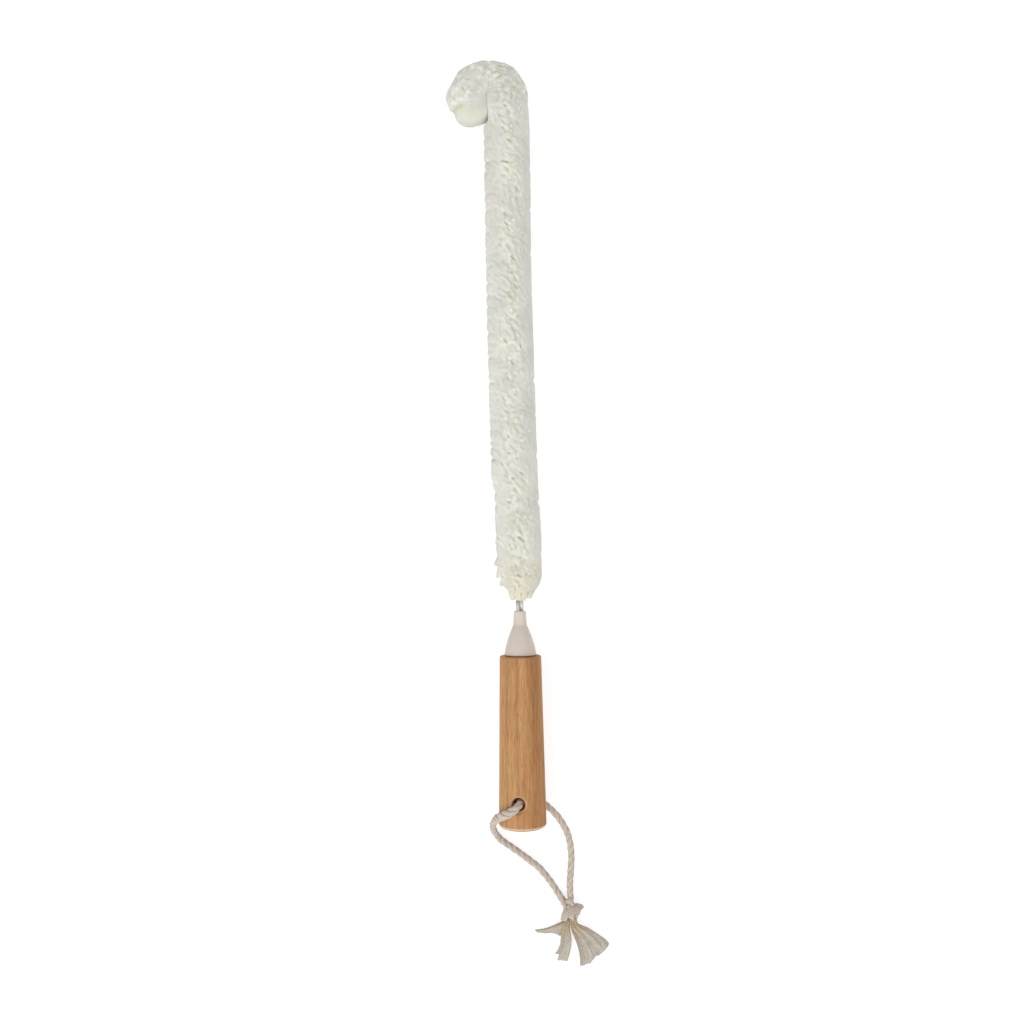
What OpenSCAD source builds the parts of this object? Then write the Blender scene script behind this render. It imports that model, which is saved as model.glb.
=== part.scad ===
// Flexible jug brush: a crooked foam head on a twisted wire, a turned bamboo handle and a hanging cord.
// It lies on its side. +Y runs along the brush from the butt of the handle to the crook, and +Z is up.
// The origin is on the surface that it lies on, under the middle of the brush.

/* [Handle] */
// Length of the wooden handle
handle_l = 90.5; // [70:0.5:130]
// Diameter of the handle at its top, under the ferrule
handle_top_d = 22.4; // [21:0.1:26]
// Diameter of the handle at its butt
handle_butt_d = 25.5; // [23:0.1:27]
// Radius that rounds the top edge of the handle
handle_top_round = 0.9; // [0.3:0.1:2]
// Radius that rounds the edge of the butt
handle_butt_round = 1.4; // [0.5:0.1:3]
// Diameter of the cross hole for the cord
hole_d = 7; // [6.8:0.1:9]
// Distance from the butt to the middle of the cross hole
hole_from_butt = 13.9; // [9:0.1:20]
// Angle by which the cross hole is rolled to the left of upright
hole_roll = 11; // [5:1:15]
// Depth of the chamfer round each mouth of the cross hole
hole_chamfer = 0.8; // [0.3:0.1:1.2]
// Angle by which the handle leans to the left of +Y
handle_lean = 0.8; // [0:0.1:3]

/* [Ferrule] */
// Diameter of the ferrule where it sits on the handle
ferrule_base_d = 17; // [14:0.1:19]
// Height of the straight rim at the foot of the ferrule
ferrule_rim_h = 1.7; // [1:0.1:4]
// Radius that rounds the two edges of that rim
ferrule_rim_round = 0.4; // [0.2:0.1:0.8]
// Length of the bell between the rim and the neck
bell_l = 14.8; // [10:0.1:25]
// Share by which the bell swells out beyond a plain cone
bell_swell = 0.1; // [0:0.01:0.15]
// Length of the neck above the bell
neck_l = 7.6; // [4:0.1:15]
// Diameter of the neck where it leaves the bell
neck_foot_d = 7.4; // [6.8:0.1:9]
// Diameter of the neck at its top
neck_top_d = 6.6; // [6.4:0.1:7]
// Radius that rounds the top of the neck
neck_round = 0.8; // [0.3:0.1:0.9]
// Diameter of the spigot that is glued into the handle
spigot_d = 11; // [8:0.1:13]
// Length of that spigot
spigot_l = 14; // [8:0.5:25]

/* [Wire] */
// Diameter of the steel wire, of which two runs are twisted together
wire_d = 2.1; // [1.6:0.1:2.2]
// Length in which the two runs make one full turn
wire_lay = 28; // [22:1:40]
// Bare length of wire between the ferrule and the foam
wire_bare_l = 5.4; // [3:0.1:12]
// Length by which the wire runs on into the handle, past the spigot
wire_tail_l = 6; // [3:0.5:15]
// Length of foam beyond the end of the wire at the tip
wire_short_of_tip = 4.5; // [3:0.1:7]

/* [Foam head] */
// Diameter of the foam along the shaft
foam_d = 25.6; // [23:0.1:28]
// Length of the foam, measured along its bent middle line
foam_l = 314; // [240:1:380]
// Angle by which the lower end of the head leans to the left of +Y
foam_lean = 2.4; // [0:0.1:4]
// Angle through which the shaft of the head bows back by the start of the crook
shaft_bow = 1.9; // [0.5:0.1:4]
// Share of the diameter that is left where the foam is bent round the crook
crook_squeeze = 0.93; // [0.85:0.01:1]
// Radius of the bend, measured on the middle line
crook_r = 10.2; // [9.6:0.1:14]
// Straight length between the bend and the domed end of the foam
tip_straight_l = 3.2; // [1:0.1:12]
// Radius of the domed end of the foam
dome_r = 9.5; // [8:0.1:10]
// Length of the rounding at the lower end of the foam
end_round_l = 15; // [8:0.5:20]
// Share of the diameter that is left at the very end of that rounding
end_share = 0.4; // [0.35:0.01:0.6]

/* [Foam strips] */
// Number of strip rows that are seen round the head
strips_round = 18; // [12:1:20]
// Length along the head that one strip end covers
strip_l = 10.4; // [9:0.1:16]
// Angle between the strips and a line across the head
strip_slope = 50; // [35:1:60]
// Depth of the grooves between the strips
strip_relief = 1.3; // [0.6:0.1:1.8]

/* [Cord] */
// Diameter of the hanging cord
cord_d = 3.6; // [3:0.1:3.6]
// Diameter of the middle of the knot
knot_core_d = 8.2; // [7:0.1:8.8]

/* [Fits] */
// Clearance round the ferrule's spigot and round the wire in its bores
glue_gap = 0.15; // [0.1:0.01:0.3]
// Clearance between the wire and the foam that it grips
foam_gap = 0.25; // [0.15:0.01:0.3]
// Half of the crease where the foam meets itself inside the crook
crease = 0.25; // [0.15:0.01:0.5]
// Height by which the foam is pressed flat where it lies on the surface
rest_flat = 0.3; // [0.1:0.1:0.8]
// Clearance between the underside of the handle and the cord below it
cord_gap = 0.2; // [0:0.1:1]
// Clearance between the knot and the pieces of cord that end at it
knot_gap = 0.1; // [0.05:0.01:0.3]

/* [Hidden] */

// Fineness of turned surfaces, bores, cord and lumps, and the number of steps in an edge and in the bell
turn_fn = 96;
bore_fn = 64;
cord_fn = 32;
lump_fn = 12;
round_steps = 5;
bell_steps = 10;
// Length by which a cut runs on past the solid that it opens
cut = 1;

// Handle and ferrule along their common axis, measured from the middle of the cross hole
butt_y = -hole_from_butt;
top_y = handle_l - hole_from_butt;
ferrule_l = ferrule_rim_h + bell_l + neck_l;
bend_y = top_y + ferrule_l + wire_bare_l / 2;
handle_r_at_hole = (handle_butt_d + (handle_top_d - handle_butt_d) * hole_from_butt / handle_l) / 2;

// Place of the middle of the cross hole, and the tilt that brings the wire down to the middle of the foam
foam_z = foam_d / 2 - rest_flat;
hole_at = [13.9, -191.2, handle_r_at_hole + cord_d + cord_gap];
handle_pitch = asin((hole_at.z - foam_z) / bend_y);
handle_dir = [
    -sin(handle_lean) * cos(handle_pitch), cos(handle_lean) * cos(handle_pitch), -sin(handle_pitch)
];
bend_at = hole_at + bend_y * handle_dir;

// Middle line of the foam head: a slightly bowed shaft, half a turn to the left and a short straight tip
foam_start = bend_at + wire_bare_l / 2 * heading_dir(foam_lean);
crook_turn = 180;
arc_l = PI * crook_r * crook_turn / 180;
leg_l = tip_straight_l + dome_r;
shaft_l = foam_l - arc_l - leg_l;
bow_r = shaft_l / shaft_bow * 180 / PI;
crook_centre = shaft_point(shaft_l) - crook_r * heading_side(foam_lean - shaft_bow);

function heading_dir(a) = [-sin(a), cos(a), 0];
function heading_side(a) = [cos(a), sin(a), 0];
function clamp01(x) = max(0, min(1, x));
function foam_heading(s) =
    foam_lean - shaft_bow * clamp01(s / shaft_l) + crook_turn * clamp01((s - shaft_l) / arc_l);
function shaft_point(s) = foam_start + bow_r * (heading_side(foam_lean) - heading_side(foam_heading(s)));
function foam_point(s) =
    s < shaft_l
        ? shaft_point(s)
        : crook_centre + crook_r * heading_side(foam_heading(s))
            + max(0, s - shaft_l - arc_l) * heading_dir(foam_heading(s));

// Points of a quarter circle of radius r about c, from angle a to angle a + 90
function edge_arc(c, r, a) = [
    for (i = [0 : round_steps])
        let (at = a + 90 * i / round_steps)
        c + r * [cos(at), sin(at)]
];

// Triangles of the wall between two rings of n points that start at a and b, clockwise from outside
function band(a, b, n) = [
    for (j = [0 : n - 1]) let (k = (j + 1) % n) each [[a + j, b + k, b + j], [a + j, a + k, b + k]]
];
function bands(rings, n, first = 0) = [
    for (i = [0 : rings - 2]) each band(first + i * n, first + (i + 1) * n, n)
];
// Triangles that close the last ring of n points with one point
function end_fan(ring, n, point) = [for (j = [0 : n - 1]) [ring + j, ring + (j + 1) % n, point]];
// The same triangles seen from the other side, for a wall that faces inwards or backwards
function turned(faces) = [for (f = faces) [f[0], f[2], f[1]]];
function unit(v) = v / norm(v);

module on_handle_axis() {
    translate(hole_at) rotate([0, 0, handle_lean]) rotate([-handle_pitch, 0, 0]) children();
}

// Turned handle

handle_profile = concat(
    [[0, butt_y]],
    edge_arc([handle_butt_d / 2 - handle_butt_round, butt_y + handle_butt_round], handle_butt_round, -90),
    edge_arc([handle_top_d / 2 - handle_top_round, top_y - handle_top_round], handle_top_round, 0),
    [[0, top_y]]
);

// Cross hole, with a 45 degree cone that opens each mouth and begins two chamfers below the surface
module cross_hole() {
    cone_h = 3 * hole_chamfer;
    cone_from = handle_r_at_hole - 2 * hole_chamfer;
    rotate([0, -hole_roll, 0]) {
        cylinder(d = hole_d, h = 2 * handle_butt_d, center = true, $fn = bore_fn);
        for (side = [0, 180])
            rotate([side, 0, 0]) translate([0, 0, cone_from])
                cylinder(d1 = hole_d, d2 = hole_d + 2 * cone_h, h = cone_h, $fn = bore_fn);
    }
}

module handle() {
    spigot_room = spigot_l + glue_gap;
    wire_room = spigot_room + wire_tail_l + glue_gap;
    color("#c1935f") on_handle_axis() difference() {
        rotate([-90, 0, 0]) rotate_extrude($fn = turn_fn) polygon(handle_profile);
        cross_hole();
        translate([0, top_y - spigot_room, 0]) rotate([-90, 0, 0])
            cylinder(d = spigot_d + 2 * glue_gap, h = spigot_room + cut, $fn = bore_fn);
        translate([0, top_y - wire_room, 0]) rotate([-90, 0, 0])
            cylinder(d = wire_bore_d, h = wire_room, $fn = bore_fn);
    }
}

// Moulded ferrule: spigot, rim, bell and neck, with the wire's bore through all of it

wire_bore_d = 2 * wire_d + 2 * glue_gap;
spigot_chamfer = 0.5;

// Radius of the bell at the share t of its height above the rim
function bell_r(t) =
    let (foot_share = 1 - t + bell_swell * sin(180 * t))
    neck_foot_d / 2 + (ferrule_base_d / 2 - neck_foot_d / 2) * foot_share;

ferrule_profile = concat(
    [
        [0, -spigot_l], [spigot_d / 2 - spigot_chamfer, -spigot_l],
        [spigot_d / 2, -spigot_l + spigot_chamfer], [spigot_d / 2, 0]
    ],
    edge_arc([ferrule_base_d / 2 - ferrule_rim_round, ferrule_rim_round], ferrule_rim_round, -90),
    [for (i = [0 : bell_steps]) [bell_r(i / bell_steps), ferrule_rim_h + bell_l * i / bell_steps]],
    edge_arc([neck_top_d / 2 - neck_round, ferrule_l - neck_round], neck_round, 0),
    [[0, ferrule_l]]
);

module ferrule() {
    color("#cfc3b4") on_handle_axis() translate([0, top_y, 0]) rotate([-90, 0, 0]) difference() {
        rotate_extrude($fn = turn_fn) polygon(ferrule_profile);
        translate([0, 0, -spigot_l - cut])
            cylinder(d = wire_bore_d, h = spigot_l + ferrule_l + 2 * cut, $fn = bore_fn);
    }
}

// Steel wire: one length folded in half at the tip, whose two runs are twisted together

wire_r = wire_d / 2;
wire_sides = 6;
rings_per_lay = 8;
// Clearance of each run from the twist's axis, so that the two don't touch
strand_gap = 0.03;
strand_offset = wire_r + strand_gap;
wire_from = -wire_bare_l - ferrule_l - spigot_l - wire_tail_l;
wire_to = foam_l - wire_short_of_tip - strand_offset - wire_r;
wire_rings = ceil((wire_to - wire_from) * rings_per_lay / wire_lay);
fold_steps = 4;

// Point, direction and side of the brush's middle line at the distance s above the lower end of the foam
function line_dir(s) = s < -wire_bare_l / 2 ? handle_dir : heading_dir(foam_heading(s));
function line_side(s) = unit(cross(line_dir(s), [0, 0, 1]));
function line_up(s) = cross(line_side(s), line_dir(s));
function line_point(s) =
    s < -wire_bare_l / 2 ? bend_at + (s + wire_bare_l / 2) * handle_dir : foam_point(s);

// Ring of one run about c, where out points away from the twist's axis and across lies square to it
function wire_ring(c, out, across) = [
    for (j = [0 : wire_sides - 1])
        let (a = 360 * (j + 0.5) / wire_sides)
        c + wire_r * (cos(a) * out + sin(a) * across)
];
function twist_out(s) = let (a = 360 * s / wire_lay) cos(a) * line_side(s) + sin(a) * line_up(s);
function run_ring(s, way) =
    let (out = way * twist_out(s))
    wire_ring(line_point(s) + strand_offset * out, out, cross(twist_out(s), line_dir(s)));
function fold_ring(a) =
    let (
        out = cos(a) * twist_out(wire_to) + sin(a) * line_dir(wire_to),
        across = cross(twist_out(wire_to), line_dir(wire_to))
    )
    wire_ring(line_point(wire_to) + strand_offset * out, out, across);

module core_wire() {
    step = (wire_to - wire_from) / wire_rings;
    rings = concat(
        [for (i = [0 : wire_rings]) run_ring(wire_from + i * step, 1)],
        [for (i = [1 : fold_steps - 1]) fold_ring(180 * i / fold_steps)],
        [for (i = [wire_rings : -1 : 0]) run_ring(wire_from + i * step, -1)]
    );
    count = len(rings);
    corners = [for (r = rings) each r];
    ends = [for (way = [1, -1]) line_point(wire_from) + way * strand_offset * twist_out(wire_from)];
    color("#c9c9c7") polyhedron(
        points = concat(corners, ends),
        faces = concat(
            turned(end_fan(0, wire_sides, count * wire_sides)),
            bands(count, wire_sides),
            end_fan((count - 1) * wire_sides, wire_sides, count * wire_sides + 1)
        ),
        convexity = 10
    );
}

// Foam head: strips that lie over each other in slanting rows round the wire, pressed flat inside the crook

columns = 2 * strips_round;
rings_per_strip = 4;
dome_from = foam_l - dome_r;
body_rings = round(dome_from * rings_per_strip / strip_l);
dome_steps = 5;
tunnel_sides = strips_round;
tunnel_r = (wire_d + foam_gap) / cos(180 / tunnel_sides);
tunnel_shaft_steps = 8;
tunnel_crook_steps = 14;
tunnel_to = wire_to + strand_offset + wire_r + foam_gap;
// Turn of the strip rows round the head for each millimetre along it
row_turn = 360 / (PI * foam_d * tan(strip_slope));
// Share by which the last of the foam before the dome is thinner, and how far back that begins
neck_in = 0.07;
neck_in_l = 6;
// Share of the bend over which the foam is squeezed to its full measure
squeeze_onset = 1 / 3;
// Length over which the two legs come to be pressed together, before the tip meets the shaft
pinch_l = 6;
// Height of the strips on the dome, as a share of those on the shaft
dome_relief = 0.3;
// Depth of a strip's crest at its root, at its end and, at most, between them, as shares of the relief
crest_root = 0.6;
crest_end = 0.2;
crest_scatter = 0.3;
// Depth of the grooves, how far it varies, and the depth and likelihood of an open gap
groove_base = 0.7;
groove_scatter = 0.3;
gap_depth = 1.5;
gap_chance = 0.15;
// Least share of a direction towards the crook or the surface below at which those hold the foam in
least_facing = 0.01;

ring_places = concat(
    [for (i = [0 : body_rings]) dome_from * i / body_rings],
    [for (i = [1 : dome_steps]) dome_from + dome_r * sin(90 * i / (dome_steps + 1))]
);
tunnel_places = concat(
    [for (i = [0 : tunnel_shaft_steps]) shaft_l * i / tunnel_shaft_steps],
    [for (i = [1 : tunnel_crook_steps]) shaft_l + arc_l * i / tunnel_crook_steps],
    [tunnel_to]
);

function scatter(a, b) = let (v = sin(a * 127.1 + b * 311.7) * 4375.85) v - floor(v);

// Outer radius of the foam before its strips are cut into it
function lower_share(s) = end_share + (1 - end_share) * sin(90 * clamp01(s / end_round_l));
function squeeze_share(s) = 1 - (1 - crook_squeeze) * clamp01((s - shaft_l) / (squeeze_onset * arc_l));
function neck_share(s) =
    let (onset_l = tip_straight_l + neck_in_l)
    1 - neck_in * clamp01((s - dome_from + onset_l) / onset_l);
function foam_r(s) = s > dome_from
    ? dome_r * sqrt(1 - pow((s - dome_from) / dome_r, 2))
    : foam_d / 2 * lower_share(s) * squeeze_share(s) * neck_share(s);

// Depth of the surface below that radius at ring i and column j: even columns are crests, odd ones grooves
function strip_depth(i, j) =
    let (
        row = floor(j / 2),
        at = i + 3 * row,
        strip = floor(at / rings_per_strip),
        phase = at % rings_per_strip,
        chance = scatter(strip, row)
    )
    j % 2 == 0
        ? (phase == 0 ? crest_root : phase == rings_per_strip - 1 ? crest_end : crest_scatter * chance)
        : (chance > 1 - gap_chance ? gap_depth : groove_base + groove_scatter * chance);

// Farthest that the foam may reach towards the inside of the crook, and down to the surface it lies on
function inner_limit(s) =
    let (onset = clamp01((s - shaft_l + leg_l + pinch_l) / pinch_l))
    foam_d * (1 - onset) + (crook_r - crease) * onset;
function held_in(r, s, a) = min(
    r,
    cos(a) < -least_facing ? inner_limit(s) / -cos(a) : r,
    sin(a) < -least_facing ? foam_z / -sin(a) : r
);

function foam_ring(i) =
    let (s = ring_places[i], relief = s > dome_from ? dome_relief * strip_relief : strip_relief)
    [
        for (j = [0 : columns - 1])
            let (
                a = 360 * j / columns + row_turn * s,
                cut = relief * strip_depth(i, j) * foam_r(s) / (foam_d / 2)
            )
            foam_point(s) + held_in(foam_r(s) - cut, s, a) * (cos(a) * line_side(s) + sin(a) * [0, 0, 1])
    ];
function tunnel_ring(s) = [
    for (j = [0 : tunnel_sides - 1])
        let (a = 360 * j / tunnel_sides)
        foam_point(s) + tunnel_r * (cos(a) * line_side(s) + sin(a) * [0, 0, 1])
];
// The blunt lower end: two columns of the outside for each side of the tunnel
function lower_end(first) = [
    for (m = [0 : tunnel_sides - 1])
        let (n = (m + 1) % tunnel_sides)
        each [
            [2 * m, first + m, 2 * m + 1],
            [2 * m + 1, first + m, (2 * m + 2) % columns],
            [first + m, first + n, (2 * m + 2) % columns]
        ]
];

module foam_bristles() {
    rings = len(ring_places);
    tunnels = len(tunnel_places);
    apex = rings * columns;
    tunnel = apex + 1;
    tunnel_tip = tunnel + tunnels * tunnel_sides;
    color("#eeeade") polyhedron(
        points = concat(
            [for (i = [0 : rings - 1]) each foam_ring(i)],
            [foam_point(foam_l)],
            [for (s = tunnel_places) each tunnel_ring(s)],
            [foam_point(tunnel_to + foam_gap)]
        ),
        faces = concat(
            bands(rings, columns),
            end_fan((rings - 1) * columns, columns, apex),
            turned(bands(tunnels, tunnel_sides, tunnel)),
            turned(end_fan(tunnel_tip - tunnel_sides, tunnel_sides, tunnel_tip)),
            lower_end(tunnel)
        ),
        convexity = 10
    );
}

// Hanging cord: from the knot round the left of the butt, down through the cross hole and back on the right

cord_points = [
    [36.6, -251.6, 2.2], [31.6, -244, 1.8], [27.6, -238.4, 1.8], [23, -233.2, 1.8], [18, -229.2, 1.8],
    [12.6, -225.2, 1.8], [7.2, -221.4, 1.8], [2.6, -218.2, 2], [-0.2, -214.6, 3.6], [-1.7, -210.6, 7.4],
    [-2, -206.8, 12.2], [-1.2, -203, 17.6], [0.6, -199.4, 23.2], [3.4, -196.8, 27.4], [6.4, -194.9, 29.6],
    [9.2, -193, 30], [11.5, -191.5, 28.2], [12.8, -190.6, 24.4], [13.3, -190.4, 20.6], [13.9, -190.4, 16.3],
    [14.1, -190.3, 11], [14.6, -190.6, 7], [15.8, -191.5, 3.9], [17.8, -192.9, 2.4], [20.6, -194.8, 1.8],
    [24.4, -197, 1.8], [28.4, -200, 1.8], [32, -203.4, 1.8], [35.6, -208.2, 1.8], [38.6, -213.8, 1.8],
    [40.4, -220.6, 1.8], [41, -228, 1.8], [40.6, -235.6, 1.8], [40.2, -243.2, 1.8], [40.6, -250.6, 2.2]
];
cord_sides = 8;
cord_last = len(cord_points) - 1;
cord_ways = [
    for (i = [0 : cord_last])
        unit(cord_points[min(i + 1, cord_last)] - cord_points[max(i - 1, 0)])
];
// Side of each ring, carried along from the one before it so that the tube doesn't twist
cord_ring_sides = [
    for (i = 0, side = unit(cross(cord_ways[0], [0, 0, 1])); i <= cord_last;
        i = i + 1, side = i <= cord_last ? unit(side - (side * cord_ways[i]) * cord_ways[i]) : side)
        side
];

module hang_cord() {
    rings = [
        for (i = [0 : cord_last])
            let (side = cord_ring_sides[i], up = cross(side, cord_ways[i]))
            [
                for (j = [0 : cord_sides - 1])
                    let (a = 360 * (j + 0.5) / cord_sides)
                    cord_points[i] + cord_d / 2 * (cos(a) * side + sin(a) * up)
            ]
    ];
    count = cord_last + 1;
    color("#c6b7a6") polyhedron(
        points = concat([for (r = rings) each r], [cord_points[0], cord_points[cord_last]]),
        faces = concat(
            turned(end_fan(0, cord_sides, count * cord_sides)),
            bands(count, cord_sides),
            end_fan(cord_last * cord_sides, cord_sides, count * cord_sides + 1)
        ),
        convexity = 10
    );
}

// Overhand knot of both runs: a band round a core, with the runs entering above and the ends leaving below

// The band round the core is sunk into it, and the middle of both rests where the band touches the surface
knot_band_sink = 1.1;
knot_band_r = knot_core_d / 2 - knot_band_sink;
knot_band_turn = 40;
knot_at = [41.2, -256.5, knot_band_r + cord_d / 2];
// Lobe of the knot at its upper right, and how far each run of the cord goes into the knot
knot_lobe_at = knot_at + [2.6, 2.4, -0.6];
knot_lobe_d = 6.8;
run_end_l = 6;
// Where the two ends leave the knot, their diameter side by side, and that of the stub below
ends_from = [39.4, -262.2, 3.2];
ends_d = 4.6;
ends_stub_d = 4.2;
ends_stub_l = 3;

// Round bar of diameter d from p to q
module bar(p, q, d) {
    way = q - p;
    translate(p) rotate([0, acos(way.z / norm(way)), atan2(way.y, way.x)])
        cylinder(d = d, h = norm(way), $fn = cord_fn);
}

// Last of a run of the cord inside the knot, just clear of the tube that ends at p
module run_end(p, way) {
    bar(p + knot_gap * way, p + run_end_l * way, cord_d);
}

module cord_knot() {
    color("#b9a88f") union() {
        translate(knot_at) sphere(d = knot_core_d, $fn = cord_fn);
        translate(knot_at) rotate([0, 0, knot_band_turn]) rotate([90, 0, 0])
            rotate_extrude($fn = bore_fn) translate([knot_band_r, 0]) circle(d = cord_d, $fn = cord_fn);
        translate(knot_lobe_at) sphere(d = knot_lobe_d, $fn = cord_fn);
        run_end(cord_points[0], -cord_ways[0]);
        run_end(cord_points[cord_last], cord_ways[cord_last]);
        bar(knot_at, ends_from, ends_d);
    }
}

// Frayed ends: a horn to the left, a narrow tuft below and a wide fan to the right

// Lumps that lead the tufts, each as its middle and its diameter
horn_root = [[38.4, -264, 2.1], 3.6];
horn_web = [[35.2, -268.8, 1.9], 3.4];
horn_bend = [[30.6, -267.8, 1.8], 3.4];
horn_tip = [[21, -268.6, 1], 1.6];
middle_root = [[38.4, -264.6, 2.1], 3.8];
middle_outer = [
    [[37.4, -272, 1.8], 3.4], [[32.5, -281.4, 1], 1.7], [[34.2, -284.2, 1], 1.7], [[38, -284.8, 1], 1.7]
];
fan_root = [[40.4, -264.6, 2.1], 3.8];
fan_outer = [
    [[61.4, -275.8, 1], 1.7], [[56.6, -280.8, 1], 1.8], [[51.6, -285.6, 1], 1.8], [[46.4, -287.8, 1], 1.7]
];

module lump(l) {
    translate(l[0]) sphere(d = l[1], $fn = lump_fn);
}

// One tuft from its root lump to each of its outer lumps
module tuft(root, outer) {
    hull() {
        lump(root);
        for (o = outer) lump(o);
    }
}

module cord_ends() {
    root = unit(ends_from - knot_at);
    color("#bdb3a4") union() {
        bar(ends_from + knot_gap * root, ends_from + ends_stub_l * root, ends_stub_d);
        tuft(horn_root, [horn_web, horn_bend]);
        tuft(horn_bend, [horn_tip]);
        tuft(middle_root, middle_outer);
        tuft(fan_root, fan_outer);
    }
}

handle();
ferrule();
core_wire();
foam_bristles();
hang_cord();
cord_knot();
cord_ends();
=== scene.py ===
"""Flexible jug brush: foam strips, twisted wire, bamboo handle and laid cotton cord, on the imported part."""

import math
from collections import namedtuple

import bpy
import numpy as np
from bpy.props import FloatProperty, FloatVectorProperty, IntProperty, PointerProperty
from bpy.types import Operator, Panel, PropertyGroup
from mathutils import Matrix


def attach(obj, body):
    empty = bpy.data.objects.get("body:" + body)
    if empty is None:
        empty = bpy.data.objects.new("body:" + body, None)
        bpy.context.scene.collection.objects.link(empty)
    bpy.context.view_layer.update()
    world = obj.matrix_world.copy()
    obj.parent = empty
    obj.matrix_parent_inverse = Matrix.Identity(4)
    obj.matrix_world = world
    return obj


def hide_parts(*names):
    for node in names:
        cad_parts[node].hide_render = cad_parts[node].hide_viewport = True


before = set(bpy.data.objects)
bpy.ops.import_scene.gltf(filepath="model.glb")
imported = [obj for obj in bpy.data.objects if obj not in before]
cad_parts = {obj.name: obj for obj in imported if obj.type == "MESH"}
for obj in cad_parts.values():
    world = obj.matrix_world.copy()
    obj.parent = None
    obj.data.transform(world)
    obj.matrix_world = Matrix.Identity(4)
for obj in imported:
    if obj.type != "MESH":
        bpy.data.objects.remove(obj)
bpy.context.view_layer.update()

bl_info = {
    "name": "Flexible jug brush",
    "version": (1, 0, 0),
    "blender": (4, 5, 0),
    "location": "View3D > Sidebar > Jug Brush",
    "description": "Builds the foam head, wire, handle, ferrule and hanging cord of a flexible jug brush",
    "category": "Object",
}

MM = 0.001
# Lowest height of anything that lies on the floor
ON_FLOOR = 0.05 * MM
BODY = "root"
UP = np.array([0.0, 0.0, 1.0])

# Sizes that the handle, ferrule and wire share with the part
HANDLE_L = 90.5 * MM
HOLE_FROM_BUTT = 13.9 * MM
HOLE_AT = np.array([13.9, -191.2, 16.312]) * MM
HOLE_ROLL = math.radians(11)
HANDLE_LEAN = math.radians(0.8)
FERRULE_L = 24.1 * MM
SPIGOT_L = 14 * MM
WIRE_D = 2.1 * MM
WIRE_LAY = 28 * MM
WIRE_BARE_L = 5.4 * MM
WIRE_TAIL_L = 6 * MM
WIRE_SHORT_OF_TIP = 4.5 * MM

# Sizes of the foam head, and of its middle line
FOAM_D = 25.6 * MM
FOAM_R = FOAM_D / 2
FOAM_L = 314 * MM
FOAM_Z = 12.5 * MM
FOAM_LEAN = math.radians(2.4)
SHAFT_BOW = math.radians(1.9)
CROOK_TURN = math.pi
CROOK_R = 10.2 * MM
CROOK_SQUEEZE = 0.93
TIP_STRAIGHT_L = 3.2 * MM
DOME_R = 9.5 * MM
END_ROUND_L = 15 * MM
END_SHARE = 0.4
NECK_IN = 0.07
NECK_IN_L = 6 * MM
CREASE = 0.25 * MM

# Route of the hanging cord, from the knot over the handle, down through its hole and back to the knot
CORD_ROUTE_MM = [
    (36.6, -251.6, 2.2), (31.6, -244, 1.8), (27.6, -238.4, 1.8), (23, -233.2, 1.8), (18, -229.2, 1.8),
    (12.6, -225.2, 1.8), (7.2, -221.4, 1.8), (2.6, -218.2, 2), (-0.2, -214.6, 3.6), (-1.7, -210.6, 7.4),
    (-2, -206.8, 12.2), (-1.2, -203, 17.6), (0.6, -199.4, 23.2), (3.4, -196.8, 27.4), (6.4, -194.9, 29.6),
    (9.2, -193, 30), (11.5, -191.5, 28.2), (12.8, -190.6, 24.4), (13.3, -190.4, 20.6), (13.9, -190.4, 16.3),
    (14.1, -190.3, 11), (14.6, -190.6, 7), (15.8, -191.5, 3.9), (17.8, -192.9, 2.4), (20.6, -194.8, 1.8),
    (24.4, -197, 1.8), (28.4, -200, 1.8), (32, -203.4, 1.8), (35.6, -208.2, 1.8), (38.6, -213.8, 1.8),
    (40.4, -220.6, 1.8), (41, -228, 1.8), (40.6, -235.6, 1.8), (40.2, -243.2, 1.8), (40.6, -250.6, 2.2),
]

# Middle line of the brush


def rise(place, start, length):
    """From 0 up to the start to 1 beyond that length after it."""
    return np.clip((place - start) / length, 0, 1)


def unit(vectors):
    """The same directions with a length of one."""
    return vectors / np.linalg.norm(vectors, axis=-1, keepdims=True)


def heading_dir(angle):
    """Direction along the surface that the brush lies on, turned to the left of +Y by an angle."""
    return np.stack([-np.sin(angle), np.cos(angle), np.zeros_like(angle)], -1)


def heading_side(angle):
    """Direction square to that heading, to its right."""
    return np.stack([np.cos(angle), np.sin(angle), np.zeros_like(angle)], -1)


ARC_L = CROOK_R * CROOK_TURN
LEG_L = TIP_STRAIGHT_L + DOME_R
SHAFT_L = FOAM_L - ARC_L - LEG_L
DOME_FROM = FOAM_L - DOME_R
BOW_R = SHAFT_L / SHAFT_BOW
BEND_Y = HANDLE_L - HOLE_FROM_BUTT + FERRULE_L + WIRE_BARE_L / 2
HANDLE_PITCH = math.asin((HOLE_AT[2] - FOAM_Z) / BEND_Y)
HANDLE_DIR = math.cos(HANDLE_PITCH) * heading_dir(HANDLE_LEAN) - math.sin(HANDLE_PITCH) * UP
HANDLE_SIDE = heading_side(HANDLE_LEAN)
HOLE_DIR = math.cos(HOLE_ROLL) * np.cross(HANDLE_SIDE, HANDLE_DIR) - math.sin(HOLE_ROLL) * HANDLE_SIDE
BEND_AT = HOLE_AT + BEND_Y * HANDLE_DIR
FOAM_START = BEND_AT + WIRE_BARE_L / 2 * heading_dir(FOAM_LEAN)


def foam_heading(s):
    """Heading of the middle line at the distance s above the lower end of the foam."""
    return FOAM_LEAN - SHAFT_BOW * rise(s, 0, SHAFT_L) + CROOK_TURN * rise(s, SHAFT_L, ARC_L)


def shaft_point(s):
    """Point of the bowed shaft of the head."""
    return FOAM_START + BOW_R * (heading_side(FOAM_LEAN) - heading_side(foam_heading(s)))


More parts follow.
